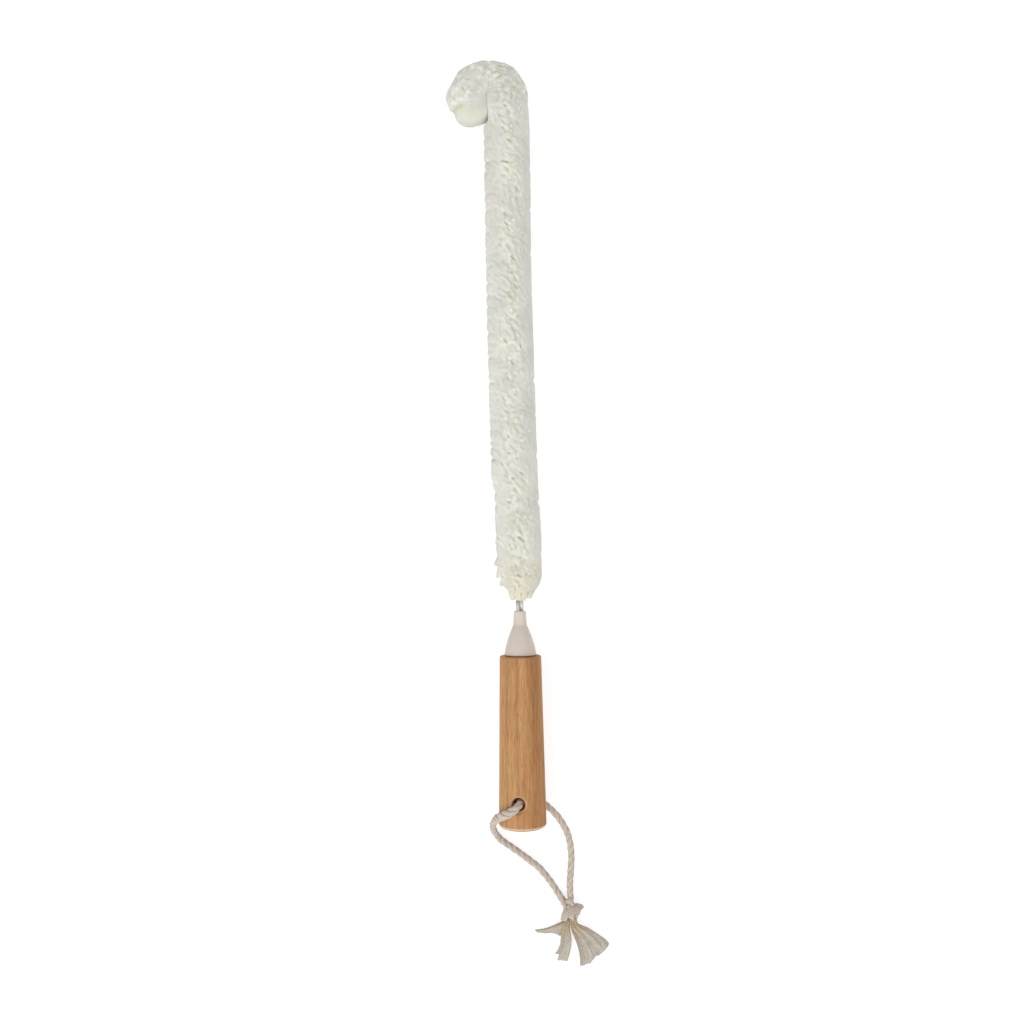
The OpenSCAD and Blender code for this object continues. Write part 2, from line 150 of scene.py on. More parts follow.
CROOK_CENTRE = shaft_point(SHAFT_L) - CROOK_R * heading_side(FOAM_LEAN - SHAFT_BOW)


def foam_point(s):
    """Point of the middle line, round the crook and on to the tip."""
    heading = foam_heading(s)
    past = np.maximum(0, s - SHAFT_L - ARC_L)[..., None]
    crook = CROOK_CENTRE + CROOK_R * heading_side(heading) + past * heading_dir(heading)
    return np.where((s < SHAFT_L)[..., None], shaft_point(np.minimum(s, SHAFT_L)), crook)


def line_dir(s):
    """Direction of the brush's middle line, in the handle as well."""
    return np.where((s < -WIRE_BARE_L / 2)[..., None], HANDLE_DIR, heading_dir(foam_heading(s)))


def line_point(s):
    """Point of the brush's middle line, in the handle as well."""
    below = BEND_AT + (s + WIRE_BARE_L / 2)[..., None] * HANDLE_DIR
    return np.where((s < -WIRE_BARE_L / 2)[..., None], below, foam_point(s))


def in_crook(s):
    """Whether a place along the foam is in the crook."""
    return (s > SHAFT_L) & (s < SHAFT_L + ARC_L)


def crook_scale(s, a):
    """Length on the surface for each length along the middle line, which the crook stretches outside."""
    return np.where(in_crook(s), np.maximum(1 + FOAM_R / CROOK_R * np.cos(a), 0.2), 1.0)


def flat_radius(distance, facing):
    """Radius out to a flat face at that distance, in a direction that faces it by that share."""
    return distance / np.maximum(facing, 0.01)


def foam_radius(s, a):
    """Radius of the foam at the distance s along it and the angle a round it, flat where it touches."""
    lower = END_SHARE + (1 - END_SHARE) * np.sin(math.pi / 2 * rise(s, 0, END_ROUND_L))
    squeeze = 1 - (1 - CROOK_SQUEEZE) * rise(s, SHAFT_L, ARC_L / 3)
    neck_l = TIP_STRAIGHT_L + NECK_IN_L
    neck = 1 - NECK_IN * rise(s, DOME_FROM - neck_l, neck_l)
    dome = DOME_R * np.sqrt(1 - rise(s, DOME_FROM, DOME_R) ** 2)
    free = np.where(s > DOME_FROM, dome, FOAM_R * lower * squeeze * neck)
    onset = rise(s, SHAFT_L - LEG_L - NECK_IN_L, NECK_IN_L)
    inner = FOAM_D * (1 - onset) + (CROOK_R - CREASE) * onset
    flat = np.minimum(flat_radius(inner, -np.cos(a)), flat_radius(FOAM_Z, -np.sin(a)))
    return np.minimum(free, flat)


def on_foam(s, a, r):
    """Point at the distance s along the foam, the angle a round it and the radius r."""
    side = heading_side(foam_heading(s))
    return foam_point(s) + r[..., None] * (np.cos(a)[..., None] * side + np.sin(a)[..., None] * UP)


# Lines and meshes

# Steps of a smooth curve from one of its given points to the next
STEPS_A_RUN = 24


def distances(points):
    """Distance of each point from the first, along the line through them."""
    return np.concatenate([[0], np.cumsum(np.linalg.norm(np.diff(points, axis=0), axis=1))])


def points_at(at, places, points):
    """Points of a line at some places, from points of it whose own places are known."""
    return np.stack([np.interp(at, places, values) for values in np.transpose(points)], -1)


def smooth_route(points, spacing):
    """Points at even spacing on a smooth curve through the given points."""
    p = np.array(points, float)
    p = np.concatenate([[2 * p[0] - p[1]], p, [2 * p[-1] - p[-2]]])
    t = np.linspace(0, 1, STEPS_A_RUN, endpoint=False)[:, None]
    runs = []
    for a, b, c, d in zip(p, p[1:], p[2:], p[3:]):
        bend = 2 * a - 5 * b + 4 * c - d
        change = 3 * b - a - 3 * c + d
        runs.append(0.5 * (2 * b + (c - a) * t + bend * t**2 + change * t**3))
    dense = np.concatenate(runs + [p[-2:-1]])
    along = distances(dense)
    count = max(3, round(along[-1] / spacing) + 1)
    return points_at(np.linspace(0, along[-1], count), along, dense)


def carried_sides(ways):
    """A side square to each direction of a route, carried along so that it doesn't turn about the route."""
    start = np.cross(ways[0], UP)
    if np.linalg.norm(start) < 0.1:
        start = np.cross(ways[0], [1.0, 0.0, 0.0])
    sides = [unit(start)]
    for way in ways[1:]:
        sides.append(unit(sides[-1] - np.dot(sides[-1], way) * way))
    return np.array(sides)


def angles_round(count):
    """Evenly spaced angles round a ring of points."""
    return 2 * math.pi * np.arange(count) / count


def swept(lines, sides, ups, across, high):
    """Rings of points round lines, from how far each point is to the side and up."""
    across, high = across[..., None], high[..., None]
    return lines[..., None, :] + across * sides[..., None, :] + high * ups[..., None, :]


def add_piece(name, material, replaced, tubes):
    """Adds a smooth piece of closed tubes for a CAD node, from the points and depths of their rings."""
    points, depths, faces = [], [], []
    count = 0
    for rings, depth in tubes:
        rings = rings.reshape(-1, *rings.shape[-3:])
        index = np.arange(rings[..., 0].size).reshape(rings.shape[:-1]) + count
        start, end = index[:, :-1], index[:, 1:]
        walls = np.stack([start, np.roll(start, -1, 2), np.roll(end, -1, 2), end], -1)
        faces += walls.reshape(-1, 4).tolist()
        faces += index[:, 0, ::-1].tolist()
        faces += index[:, -1].tolist()
        points.append(rings.reshape(-1, 3))
        depths.append(np.broadcast_to(depth, index.shape).reshape(-1))
        count += index.size
    points = np.concatenate(points)
    points[:, 2] = np.maximum(points[:, 2], ON_FLOOR)
    mesh = bpy.data.meshes.new(name)
    mesh.from_pydata(points.tolist(), [], faces)
    layer = mesh.attributes.new("depth", "FLOAT", "POINT")
    layer.data.foreach_set("value", np.concatenate(depths).astype(np.float32))
    mesh.polygons.foreach_set("use_smooth", [True] * len(mesh.polygons))
    mesh.materials.append(material)
    mesh.validate()
    made = bpy.data.objects.new(name, mesh)
    bpy.context.scene.collection.objects.link(made)
    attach(made, BODY)
    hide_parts(replaced)
    return made


# Strands of a laid cord, the points of its outline, and how deep the grooves between strands and yarns are
STRANDS = 3
CORD_SIDES = 48
GROOVE = 0.42
YARNS = 12
YARN_GROOVE = 0.09
# How far hand-made unevenness turns the strands, in radians, and changes their width
UNEVEN_TURN = 0.12
UNEVEN_W = 0.02


def lobes(angle, count, groove):
    """Share of the radius that is left at an angle by round lobes with grooves between them."""
    off = (angle * count / math.pi + 1) % 2 - 1
    return 1 - groove * (1 - np.sqrt(1 - 0.95 * off**2))


def laid_rings(route, diameter, lay, flat=1.0, strands=STRANDS, groove=GROOVE):
    """Rings of a cord that is laid round a route, with the depth of each point in its grooves."""
    along = distances(route)[:, None]
    ways = unit(np.gradient(route, axis=0))
    sides = carried_sides(ways)
    angle = angles_round(CORD_SIDES)
    uneven = np.sin(along * 8.3 / abs(lay)) + np.sin(along * 3.1 / abs(lay) + 2)
    turn = angle + 2 * math.pi * along / lay + UNEVEN_TURN * uneven
    share = lobes(angle, strands, groove)
    yarns = lobes(angle + 3 * math.pi * along / lay, YARNS, YARN_GROOVE)
    radius = diameter / 2 * share * yarns * (1 + UNEVEN_W * uneven)
    rings = swept(route, sides, np.cross(sides, ways), radius * np.cos(turn), flat * radius * np.sin(turn))
    # The depth in the grooves drives the painted shade between the strands.
    depth = (1 - share) / groove + 0.3 * (1 - yarns) / YARN_GROOVE
    return rings, np.clip(depth, 0, 1)


# Materials


def linear(red, green, blue):
    """A colour as it is read off a screen, from 0 to 255, in the linear light that shaders use."""
    shares = [c / 255 for c in (red, green, blue)]
    return tuple(c / 12.92 if c <= 0.04045 else ((c + 0.055) / 1.055) ** 2.4 for c in shares)


def grey(share):
    """A colour without a hue, which also stands for a share."""
    return (share, share, share)


def rgba(colour):
    """A colour with its alpha, or the socket that gives one."""
    return colour if isinstance(colour, bpy.types.NodeSocket) else (*colour, 1)


BLACK, WHITE = grey(0), grey(1)
# Places of the sockets of a Mix node that take and give colours
MIX_FACTOR, MIX_FIRST, MIX_SECOND, MIX_RESULT = 0, 6, 7, 2


class Nodes:
    """Short ways to add the nodes of a material or of the world."""

    def __init__(self, owner):
        owner.use_nodes = True
        self.nodes = owner.node_tree.nodes
        self.links = owner.node_tree.links

    def fill(self, socket, value):
        """Joins a socket to the one that feeds it, or gives it a plain value."""
        if isinstance(value, bpy.types.NodeSocket):
            self.links.new(value, socket)
        else:
            socket.default_value = value

    def add(self, kind, sockets=None, **settings):
        """A node of that kind, with its settings made and its sockets filled."""
        node = self.nodes.new(kind)
        for key, value in settings.items():
            setattr(node, key, value)
        for key, value in (sockets or {}).items():
            self.fill(node.inputs[key], value)
        return node

    def combined(self, how, first, second):
        """Arithmetic between two values."""
        return self.add("ShaderNodeMath", {0: first, 1: second}, operation=how).outputs[0]

    def seen_by(self, *rays):
        """1 to rays of these kinds, and 0 to all others."""
        outputs = self.add("ShaderNodeLightPath").outputs
        seen = outputs[rays[0]]
        for ray in rays[1:]:
            seen = self.combined("MAXIMUM", seen, outputs[ray])
        return seen


class Finish(Nodes):
    """A material with one Principled shader, and short ways to add what paints it."""

    def __init__(self, name, **constants):
        self.material = bpy.data.materials.new(name)
        super().__init__(self.material)
        self.shader = self.nodes["Principled BSDF"]
        for key, value in constants.items():
            self.shader.inputs[key.replace("_", " ")].default_value = value

    def place(self):
        """The place on the piece, in metres."""
        return self.add("ShaderNodeTexCoord").outputs["Object"]

    def vector(self, how, first, second=(0, 0, 0), result="Vector"):
        """Arithmetic between two places or directions."""
        return self.add("ShaderNodeVectorMath", {0: first, 1: second}, operation=how).outputs[result]

    def along(self, origin, way, reach):
        """Distance from a point along a direction, as a share of a reach."""
        place = self.vector("SUBTRACT", self.place(), origin)
        return self.combined("DIVIDE", self.vector("DOT_PRODUCT", place, way, "Value"), reach)

    def off_line(self, origin, way, reach):
        """Distance from a line through a point, as a share of a reach."""
        cross = self.vector("CROSS_PRODUCT", self.vector("SUBTRACT", self.place(), origin), way)
        return self.combined("DIVIDE", self.vector("LENGTH", cross, result="Value"), reach)

    def noise(self, vector, scale, detail=2.0, roughness=0.5):
        """Height of a noise pattern."""
        sockets = {"Vector": vector, "Scale": scale, "Detail": detail, "Roughness": roughness}
        return self.add("ShaderNodeTexNoise", sockets).outputs["Fac"]

    def drawn_noise(self, scale, detail, roughness=0.5, turn=(0, 0, 0)):
        """Height of a noise with its own scale along each axis, once the piece is turned."""
        turned = self.add("ShaderNodeMapping", {"Vector": self.place(), "Rotation": turn}).outputs["Vector"]
        scaled = self.add("ShaderNodeMapping", {"Vector": turned, "Scale": scale}).outputs["Vector"]
        return self.noise(scaled, 1, detail, roughness)

    def by_depth(self, stops):
        """Colours by how deep in the surface a place is."""
        return self.ramp(self.add("ShaderNodeAttribute", attribute_name="depth").outputs["Fac"], stops)

    def ramp(self, height, stops):
        """Colours along a height, from (place, colour) stops."""
        node = self.add("ShaderNodeValToRGB", {"Fac": height})
        while len(node.color_ramp.elements) < len(stops):
            node.color_ramp.elements.new(0.5)
        for element, (place, colour) in zip(node.color_ramp.elements, stops):
            element.position = place
            element.color = (*colour, 1)
        return node.outputs["Color"]

    def tone_below(self, height, low, high, colour):
        """A tone up to a low place on a height, that fades to white at a high one."""
        return self.ramp(height, [(low, linear(*colour)), (high, WHITE)])

    def band(self, height, share, start, full, still, end):
        """A share between two places on a height, fading in before the first and out after the second."""
        return self.ramp(height, [(start, BLACK), (full, grey(share)), (still, grey(share)), (end, BLACK)])

    def mixed(self, share, first, second, blend="MIX"):
        """One colour laid over another by a share."""
        sockets = {MIX_FACTOR: share, MIX_FIRST: rgba(first), MIX_SECOND: rgba(second)}
        return self.add("ShaderNodeMix", sockets, data_type="RGBA", blend_type=blend).outputs[MIX_RESULT]

    def toned(self, colour, *tones):
        """A colour with tones multiplied over it, each by its share."""
        for share, tone in tones:
            colour = self.mixed(share, colour, tone, "MULTIPLY")
        return colour

    def paint(self, colour):
        """Gives the shader its colour."""
        self.links.new(colour, self.shader.inputs["Base Color"])

    def rough(self, height, share):
        """Gives the shader a roughness of a half, with a share of a height added."""
        value = self.combined("MULTIPLY_ADD", height, share)
        self.links.new(value, self.shader.inputs["Roughness"])

    def raise_by(self, height, distance, strength):
        """Bumps the surface by a height, over what raises it already."""
        normal = self.shader.inputs["Normal"]
        sockets = {"Height": height, "Distance": distance, "Strength": strength}
        if normal.is_linked:
            sockets["Normal"] = normal.links[0].from_socket
        self.links.new(self.add("ShaderNodeBump", sockets).outputs["Normal"], normal)


def foam_finish(settings):
    """Soft cream foam: fine pores, lighter raised strip ends as a painted highlight, a deeper yellow green in
    its gaps as painted shade, and a warmer lower end.
    """
    finish = Finish("soft_foam", Roughness=1.0, Subsurface_Weight=1.0, Subsurface_Scale=1.2 * MM)
    finish.shader.inputs["Subsurface Radius"].default_value = (1.0, 0.9, 0.7)
    place = finish.place()
    # Painted light by depth: the raised ends of the strips get a lighter tip colour as a painted highlight,
    # and the gaps a yellow green colour as painted shade.
    tones = [(0.0, settings.tip_highlight_colour), (0.35, settings.colour), (1.0, settings.gap_shade_colour)]
    patches = finish.ramp(finish.noise(place, 90, 3), [
        (0.3, linear(236, 235, 230)), (0.7, linear(255, 255, 250)),
    ])
    above_end = finish.along(FOAM_START, heading_dir(FOAM_LEAN), 2 * END_ROUND_L)
    warm_end = finish.ramp(above_end, [
        (0.0, linear(254, 248, 232)), (0.3, linear(254, 251, 243)), (1.0, WHITE),
    ])
    finish.paint(finish.toned(finish.by_depth(tones), (0.8, patches), (1.0, warm_end)))
    finish.raise_by(finish.noise(place, 1600, 3, 0.6), 0.2 * MM, 0.5)
    return finish.material


def cotton_finish(name, tones):
    """Cotton: its tones by how deep in its grooves a place is, which paints shade into the grooves, fine
    fibres and small changes of colour.
    """
    finish = Finish(name, Roughness=0.9, Sheen_Weight=0.15)
    patches = finish.tone_below(finish.noise(finish.place(), 260, 4), 0.3, 0.7, (232, 228, 222))
    fibres = finish.drawn_noise((2200, 2200, 900), 3, 0.6)
    flecks = finish.tone_below(fibres, 0.35, 0.6, (214, 207, 196))
    finish.paint(finish.toned(finish.by_depth(tones), (0.8, patches), (0.9, flecks)))
    finish.raise_by(fibres, 0.3 * MM, 0.8)
    return finish.material


# Half of the width that the laminated strips share
HANDLE_HALF_W = 20 * MM


def laminate_and_shade_tones(finish):
    """Tones across the handle by their place: a dark stripe of the glued-up bamboo right of its middle, and
    painted shade that darkens its right half, away from the key lamp.
    """
    left = HOLE_AT - HANDLE_HALF_W * HANDLE_SIDE
    place = finish.along(left, HANDLE_SIDE, 2 * HANDLE_HALF_W)
    # The dim tone is painted shade right of the middle. The dark tone is both the stripe and the painted
    # shade at the right edge.
    dim, dark = linear(242, 234, 226), linear(237, 225, 213)
    return finish.ramp(place, [
        (0.0, WHITE), (0.5, WHITE), (0.52, dim), (0.62, dim),
        (0.63, dark), (0.67, dark), (0.68, dim), (1.0, dark),
    ])


# Reach of the places that are measured from the butt of the handle and from the middle of its hole
EDGE_REACH = 10 * MM


def bamboo_finish(settings):
    """Turned bamboo: laminated bands, fine grain, short dark fibre bundles, painted shade on its right half,
    a lighter rim round the hole, a darker butt, and a painted highlight along the butt's edge.
    """
    finish = Finish("turned_bamboo", Roughness=0.5, Specular_IOR_Level=0.35)
    turn = (HANDLE_PITCH, 0, -HANDLE_LEAN)
    bands = finish.drawn_noise((260, 6, 260), 1, turn=turn)
    grain = finish.drawn_noise((2600, 80, 2600), 4, 0.65, turn)
    streaks = finish.drawn_noise((1700, 85, 1700), 2, turn=turn)
    bundles = finish.drawn_noise((3600, 190, 3600), 1, 0.4, turn)
    hues = finish.ramp(finish.drawn_noise((700, 45, 700), 2, turn=turn), [
        (0.36, linear(255, 240, 232)), (0.5, WHITE), (0.64, linear(242, 252, 236)),
    ])
    colour = finish.toned(
        finish.ramp(bands, [(0.32, settings.dark), (0.5, settings.colour), (0.68, settings.light)]),
        (0.75, finish.tone_below(grain, 0.3, 0.6, (208, 197, 186))),
        (0.8, hues),
        (0.7, finish.tone_below(streaks, 0.35, 0.6, (226, 215, 204))),
        # Painted shade over the right half of the handle, together with its real dark stripe.
        (1.0, laminate_and_shade_tones(finish)),
        (0.75, finish.tone_below(bundles, 0.27, 0.34, (166, 128, 92))),
    )
    rim = finish.band(finish.off_line(HOLE_AT, HOLE_DIR, EDGE_REACH), 0.6, 0.33, 0.37, 0.44, 0.5)
    colour = finish.mixed(rim, colour, linear(226, 176, 140))
    above_butt = finish.along(HOLE_AT - HOLE_FROM_BUTT * HANDLE_DIR, HANDLE_DIR, EDGE_REACH)
    colour = finish.toned(colour, (1.0, finish.tone_below(above_butt, 0.04, 0.07, (196, 164, 136))))
    # Painted highlight: a lighter band along the rounded edge of the butt.
    edge = finish.band(above_butt, 0.75, 0.05, 0.08, 0.13, 0.17)
    finish.paint(finish.mixed(edge, colour, linear(236, 202, 168)))
    finish.rough(grain, 0.25)
    finish.raise_by(grain, 0.1 * MM, 0.35)
    finish.raise_by(bundles, 0.1 * MM, 0.25)
    return finish.material


def ferrule_finish(settings):
    """Moulded beige plastic: faint specks, a painted shadow line at its foot, a neck painted lighter than the
    cone, and a satin surface with a ripple.
    """
    finish = Finish("moulded_beige_plastic", Roughness=0.42, Subsurface_Weight=0.08, Subsurface_Scale=3 * MM)
    place = finish.place()
    above_foot = finish.along(HOLE_AT + (HANDLE_L - HOLE_FROM_BUTT) * HANDLE_DIR, HANDLE_DIR, FERRULE_L)
    # Painted shadow: a dark brown line at the foot, where it sits on the handle. Painted light: the neck is a
    # little lighter than the cone below it.
    cone_shade = linear(249, 249, 249)
    foot_shadow_and_neck_light = finish.ramp(above_foot, [
        (0.023, linear(168, 100, 64)), (0.032, cone_shade), (0.68, cone_shade), (0.76, WHITE),
    ])
    tone = finish.tone_below(finish.noise(place, 120, 3), 0.3, 0.7, (247, 246, 245))
    dust = finish.tone_below(finish.noise(place, 1400, 2, 0.6), 0.28, 0.4, (226, 220, 212))
    finish.paint(finish.toned(tone, (1.0, settings.ferrule), (0.6, dust), (1.0, foot_shadow_and_neck_light)))
    finish.raise_by(finish.noise(place, 900, 2), 0.05 * MM, 0.3)
    return finish.material


def steel_finish(settings):
    """Drawn steel wire: bright, with fine lines along it and slightly uneven polish."""
    finish = Finish("drawn_steel", Roughness=0.3, Metallic=1.0)
    lines = finish.drawn_noise((5000, 400, 5000), 3, 0.6)
    tone = finish.tone_below(lines, 0.3, 0.7, (214, 214, 212))
    finish.paint(finish.toned(tone, (1.0, settings.steel)))
    finish.rough(lines, 0.3)
    finish.raise_by(lines, 0.04 * MM, 0.4)
    return finish.material


# Settings that a user would change


def length_setting(name, description, default):
    """A length in metres, shown to a hundredth of a millimetre."""
    return FloatProperty(name=name, description=description, default=default, unit="LENGTH", precision=5)


def power_setting(name, description, default):
    """The power of a lamp in watts."""
    return FloatProperty(name=name, description=description, default=default, unit="POWER")


def colour_setting(name, description, *screen):
    """A colour, from its red, green and blue as a screen shows them."""
    return FloatVectorProperty(name=name, description=description, default=linear(*screen), subtype="COLOR")


class FoamSettings(PropertyGroup):
    """Strips and colours of the foam head."""

    strips: IntProperty(
        name="Strips", description="Number of foam strips over the whole head", default=6200,
        min=500, max=9000,
    )
    strip_w: length_setting("Strip width", "Width of one foam strip", 2 * MM)
    strip_t: length_setting("Strip thickness", "Thickness of one foam strip", 2.1 * MM)
    strip_l: length_setting("Strip length", "Length of the part of a strip that is seen", 6 * MM)
    slope: FloatProperty(
        name="Slope", description="Angle of the strips below a line across the head",
        default=math.radians(45), subtype="ANGLE",
    )
    colour: colour_setting("Colour", "Colour of the foam", 232, 231, 226)
    # The tip colour is a painted highlight on the raised ends of the strips, and the gap colour is painted
    # shade deep between them.
    tip_highlight_colour: colour_setting("Tip colour", "Colour of the raised ends of the strips", 250, 249, 244)
    gap_shade_colour: colour_setting("Gap colour", "Colour deep between the strips", 208, 206, 156)


class CordSettings(PropertyGroup):
    """Size and colours of the hanging cord."""

    diameter: length_setting("Diameter", "Diameter of the laid cord", 3.8 * MM)
    lay: length_setting("Lay", "Length in which a strand makes one full turn", 12.5 * MM)
    colour: colour_setting("Colour", "Colour of the cotton", 226, 215, 204)
    # Painted shade: the groove colour darkens the cotton deep between the strands, and between the strands of
    # the tufts near the knot.
    groove_shade_colour: colour_setting("Groove colour", "Colour between the strands", 166, 146, 120)
    frayed_colour: colour_setting("Frayed colour", "Colour of the loose fibres", 211, 205, 194)
    knot_end_colour: colour_setting("Knot end colour", "Colour of the fibres by the knot", 214, 195, 164)


class HandleSettings(PropertyGroup):
    """Colours of the handle, the ferrule and the wire."""

    colour: colour_setting("Bamboo", "Middle colour of the bamboo", 206, 158, 107)
    light: colour_setting("Light bamboo", "Colour of its light bands", 217, 171, 119)
    dark: colour_setting("Dark bamboo", "Colour of its dark bands", 193, 143, 95)
    ferrule: colour_setting("Ferrule", "Colour of the moulded ferrule", 222, 211, 200)
    steel: colour_setting("Steel", "Colour of the wire", 222, 222, 220)


class StageSettings(PropertyGroup):
    """Camera, lamps and floor."""

    lens: FloatProperty(
        name="Lens", description="Focal length of the camera", default=33.4, subtype="DISTANCE_CAMERA",
    )
    height: length_setting("Camera height", "Height of the camera above the floor", 525.5 * MM)
    key: power_setting("Key lamp", "Power of the large soft lamp", 8.5)
    fill: power_setting("Fill lamp", "Power of the lamp on the other side", 3.1)
    ambient: FloatProperty(name="Ambient", description="Strength of the white surroundings", default=0.6)


# Stage

CAMERA_X = 8.3 * MM
CAMERA_Y = -37.3 * MM
SENSOR_W_MM = 36
# Place and size in metres of each square lamp, by the name of the setting that holds its power
LAMPS = {"key": ((-0.65, -0.8, 1.0), 0.9), "fill": ((0.9, 0.0, 1.0), 1.2)}
FLOOR_REACH = 5.0
FLOOR_Z = -0.1 * MM
# Light that the floor gives back, to the brush and to the camera, and its glow to the camera
FLOOR_LIGHT = 0.82
FLOOR_SEEN = 0.4
FLOOR_GLOW = 0.76


def add_object(name, data):
    """An object in the scene that holds those data."""
    made = bpy.data.objects.new(name, data)
    bpy.context.scene.collection.objects.link(made)
    return made


def add_lamp(name, place, size, power):
    """A square soft lamp that points at the middle of the brush."""
    data = bpy.data.lights.new(name, "AREA")
    data.size = size
    data.energy = power
    lamp = add_object(name, data)
    lamp.location = place
    lamp.rotation_mode = "QUATERNION"
    lamp.rotation_quaternion = lamp.location.to_track_quat("Z", "Y")


def add_camera(settings):
    """The camera, straight above the brush and looking down."""
    data = bpy.data.cameras.new("overhead_camera")
    data.sensor_width = SENSOR_W_MM
    data.lens = settings.lens
    camera = add_object("overhead_camera", data)
    camera.location = (CAMERA_X, CAMERA_Y, settings.height)
    bpy.context.scene.camera = camera


def floor_material():
    """A pale floor that is white to the camera, and keeps the soft shadow of the brush."""
    material = bpy.data.materials.new("pale_floor")
    tree = Nodes(material)
    tree.nodes.clear()
    plain = tree.add("ShaderNodeBsdfDiffuse", {"Color": rgba(grey(FLOOR_LIGHT))})
    seen = tree.add("ShaderNodeBsdfDiffuse", {"Color": rgba(grey(FLOOR_SEEN))})
    glow = tree.add("ShaderNodeEmission", {"Strength": FLOOR_GLOW})
    both = tree.add("ShaderNodeAddShader", {0: seen.outputs[0], 1: glow.outputs[0]})
    rays = tree.seen_by("Is Camera Ray", "Is Glossy Ray", "Is Transmission Ray")
    mix = tree.add("ShaderNodeMixShader", {0: rays, 1: plain.outputs[0], 2: both.outputs[0]})
    tree.add("ShaderNodeOutputMaterial", {"Surface": mix.outputs[0]})
    return material


def add_floor():
    """The pale floor, a hair below the brush."""
    mesh = bpy.data.meshes.new("pale_floor")
    signs = [(-1, -1), (1, -1), (1, 1), (-1, 1)]
    mesh.from_pydata([(x * FLOOR_REACH, y * FLOOR_REACH, FLOOR_Z) for x, y in signs], [], [(0, 1, 2, 3)])
    mesh.materials.append(floor_material())
    add_object("pale_floor", mesh)


def white_world(strength):
    """White surroundings: a soft light for the brush, and plain white where the camera sees them."""
    world = bpy.data.worlds.new("white_surroundings")
    bpy.context.scene.world = world
    tree = Nodes(world)
    rays = tree.seen_by("Is Camera Ray", "Is Glossy Ray")
    level = tree.add("ShaderNodeMapRange", {"Value": rays, "To Min": strength, "To Max": 1.0})
    tree.fill(tree.nodes["Background"].inputs["Color"], rgba(WHITE))
    tree.fill(tree.nodes["Background"].inputs["Strength"], level.outputs["Result"])


class JUGBRUSH_OT_stage(Operator):
    """Adds the camera, the floor, the lamps and the white surroundings."""

    bl_idname = "jugbrush.stage"
    bl_label = "Stage"

    def execute(self, context):
        settings = context.scene.jugbrush_stage
        context.scene.view_settings.view_transform = "Standard"
        add_camera(settings)
        white_world(settings.ambient)
        for name, (place, size) in LAMPS.items():
            add_lamp(f"{name}_lamp", place, size, getattr(settings, name))
        add_floor()
        return {"FINISHED"}


# Hanging cord

# Where the cord is loosest and thickest, in its bend over the edge of the handle
LOOSEST_AT = np.array([3.4, -196.8, 27.4]) * MM
LOOSER_BY = 0.3
LOOSE_L = 9 * MM
CORD_SPACING = 0.45 * MM
CORD_LINE = smooth_route(np.array(CORD_ROUTE_MM) * MM, CORD_SPACING)


def laid_tones(settings):
    """Tones of the laid cotton: one colour, and a darker one deep between the strands as painted shade."""
    return [(0.0, settings.colour), (0.45, settings.colour), (1.0, settings.groove_shade_colour)]


class JUGBRUSH_OT_cord(Operator):
    """Adds the three-strand cotton cord, from the knot round through the handle and back."""

    bl_idname = "jugbrush.cord"
    bl_label = "Hanging cord"

    def execute(self, context):
        settings = context.scene.jugbrush_cord
        from_bend = np.linalg.norm(CORD_LINE - LOOSEST_AT, axis=1, keepdims=True)
        looser = 1 + LOOSER_BY * np.exp(-((from_bend / LOOSE_L) ** 4))
        tubes = [laid_rings(CORD_LINE, settings.diameter * looser, -settings.lay)]
        finish = cotton_finish("laid_cotton", laid_tones(settings))
        add_piece("laid_cord", finish, "hang_cord", tubes)
        return {"FINISHED"}


# Overhand knot, tied in both runs of the cord at once

# Wide turn that crosses the front of the knot from its lower left to its upper right, as a closed loop
KNOT_TURN_MM = [
    (37.3, -258.2, 4.2), (37.7, -257.2, 6.7), (39.0, -255.8, 8.0), (41.2, -254.7, 8.1), (43.0, -254.0, 6.8),
    (43.9, -253.8, 4.6), (43.2, -254.4, 2.6), (41.0, -255.7, 2.1), (38.6, -257.2, 2.3),
]
TURN_W = 7.8 * MM
TURN_FLAT = 0.44
TURN_LAY = 400 * MM
TURN_LINES = 9
TURN_GROOVE = 0.24
KNOT_H = 9.7 * MM
KNOT_SPACING = 0.4 * MM
# Runs inside the knot, with the ends that leave it: their points and thicknesses in mm
KNOT_RUNS_MM = [
    [(36.6, -251.6, 2.2), (38, -253.8, 3.6), (38.7, -256.4, 3.8), (38.5, -259.6, 3.4), (38.3, -262.8, 2.6)],
    [(40.6, -250.6, 2.2), (40.4, -252.4, 4.4), (40.4, -255.2, 4.8), (41.4, -258.6, 4.7), (42.7, -262, 3.6)],
    [(44.6, -254, 3.2), (44.4, -256.4, 3.6), (43.2, -258.8, 3.6), (42.4, -260.6, 3.2), (42.2, -262.4, 2.6)],
    [(42, -252.4, 6.2), (40.8, -251, 5.6), (39.6, -250.4, 4.6), (38.7, -251.3, 3.4), (38.6, -253.4, 3.4)],
    [(39.6, -253, 4.8), (40, -254.6, 5.8), (40.3, -256.4, 6), (40.6, -258.2, 5.2), (41.2, -260, 4)],
]
RUN_WIDTHS_MM = [3.8, 3.4, 3.4, 2.6, 3.4]


def closed_route(points, spacing):
    """Points at even spacing on a smooth closed curve."""
    overlap = 3
    dense = smooth_route(np.concatenate([points[-overlap:], points, points[:overlap]]), spacing)
    off = np.linalg.norm(dense - points[0], axis=1)
    half = len(dense) // 2
    return dense[np.argmin(off[:half]) : half + np.argmin(off[half:]) + 1]


def turn_rings():
    """Rings of the knot's wide turn, which reaches from the floor to the top of the knot."""
    turn = closed_route(np.array(KNOT_TURN_MM) * MM, KNOT_SPACING)
    rings, depth = laid_rings(turn, TURN_W, TURN_LAY, TURN_FLAT, TURN_LINES, TURN_GROOVE)
    heights = rings[..., 2]
    rings[..., 2] = np.interp(heights, [heights.min(), heights.max()], [ON_FLOOR, KNOT_H])
    return rings, depth


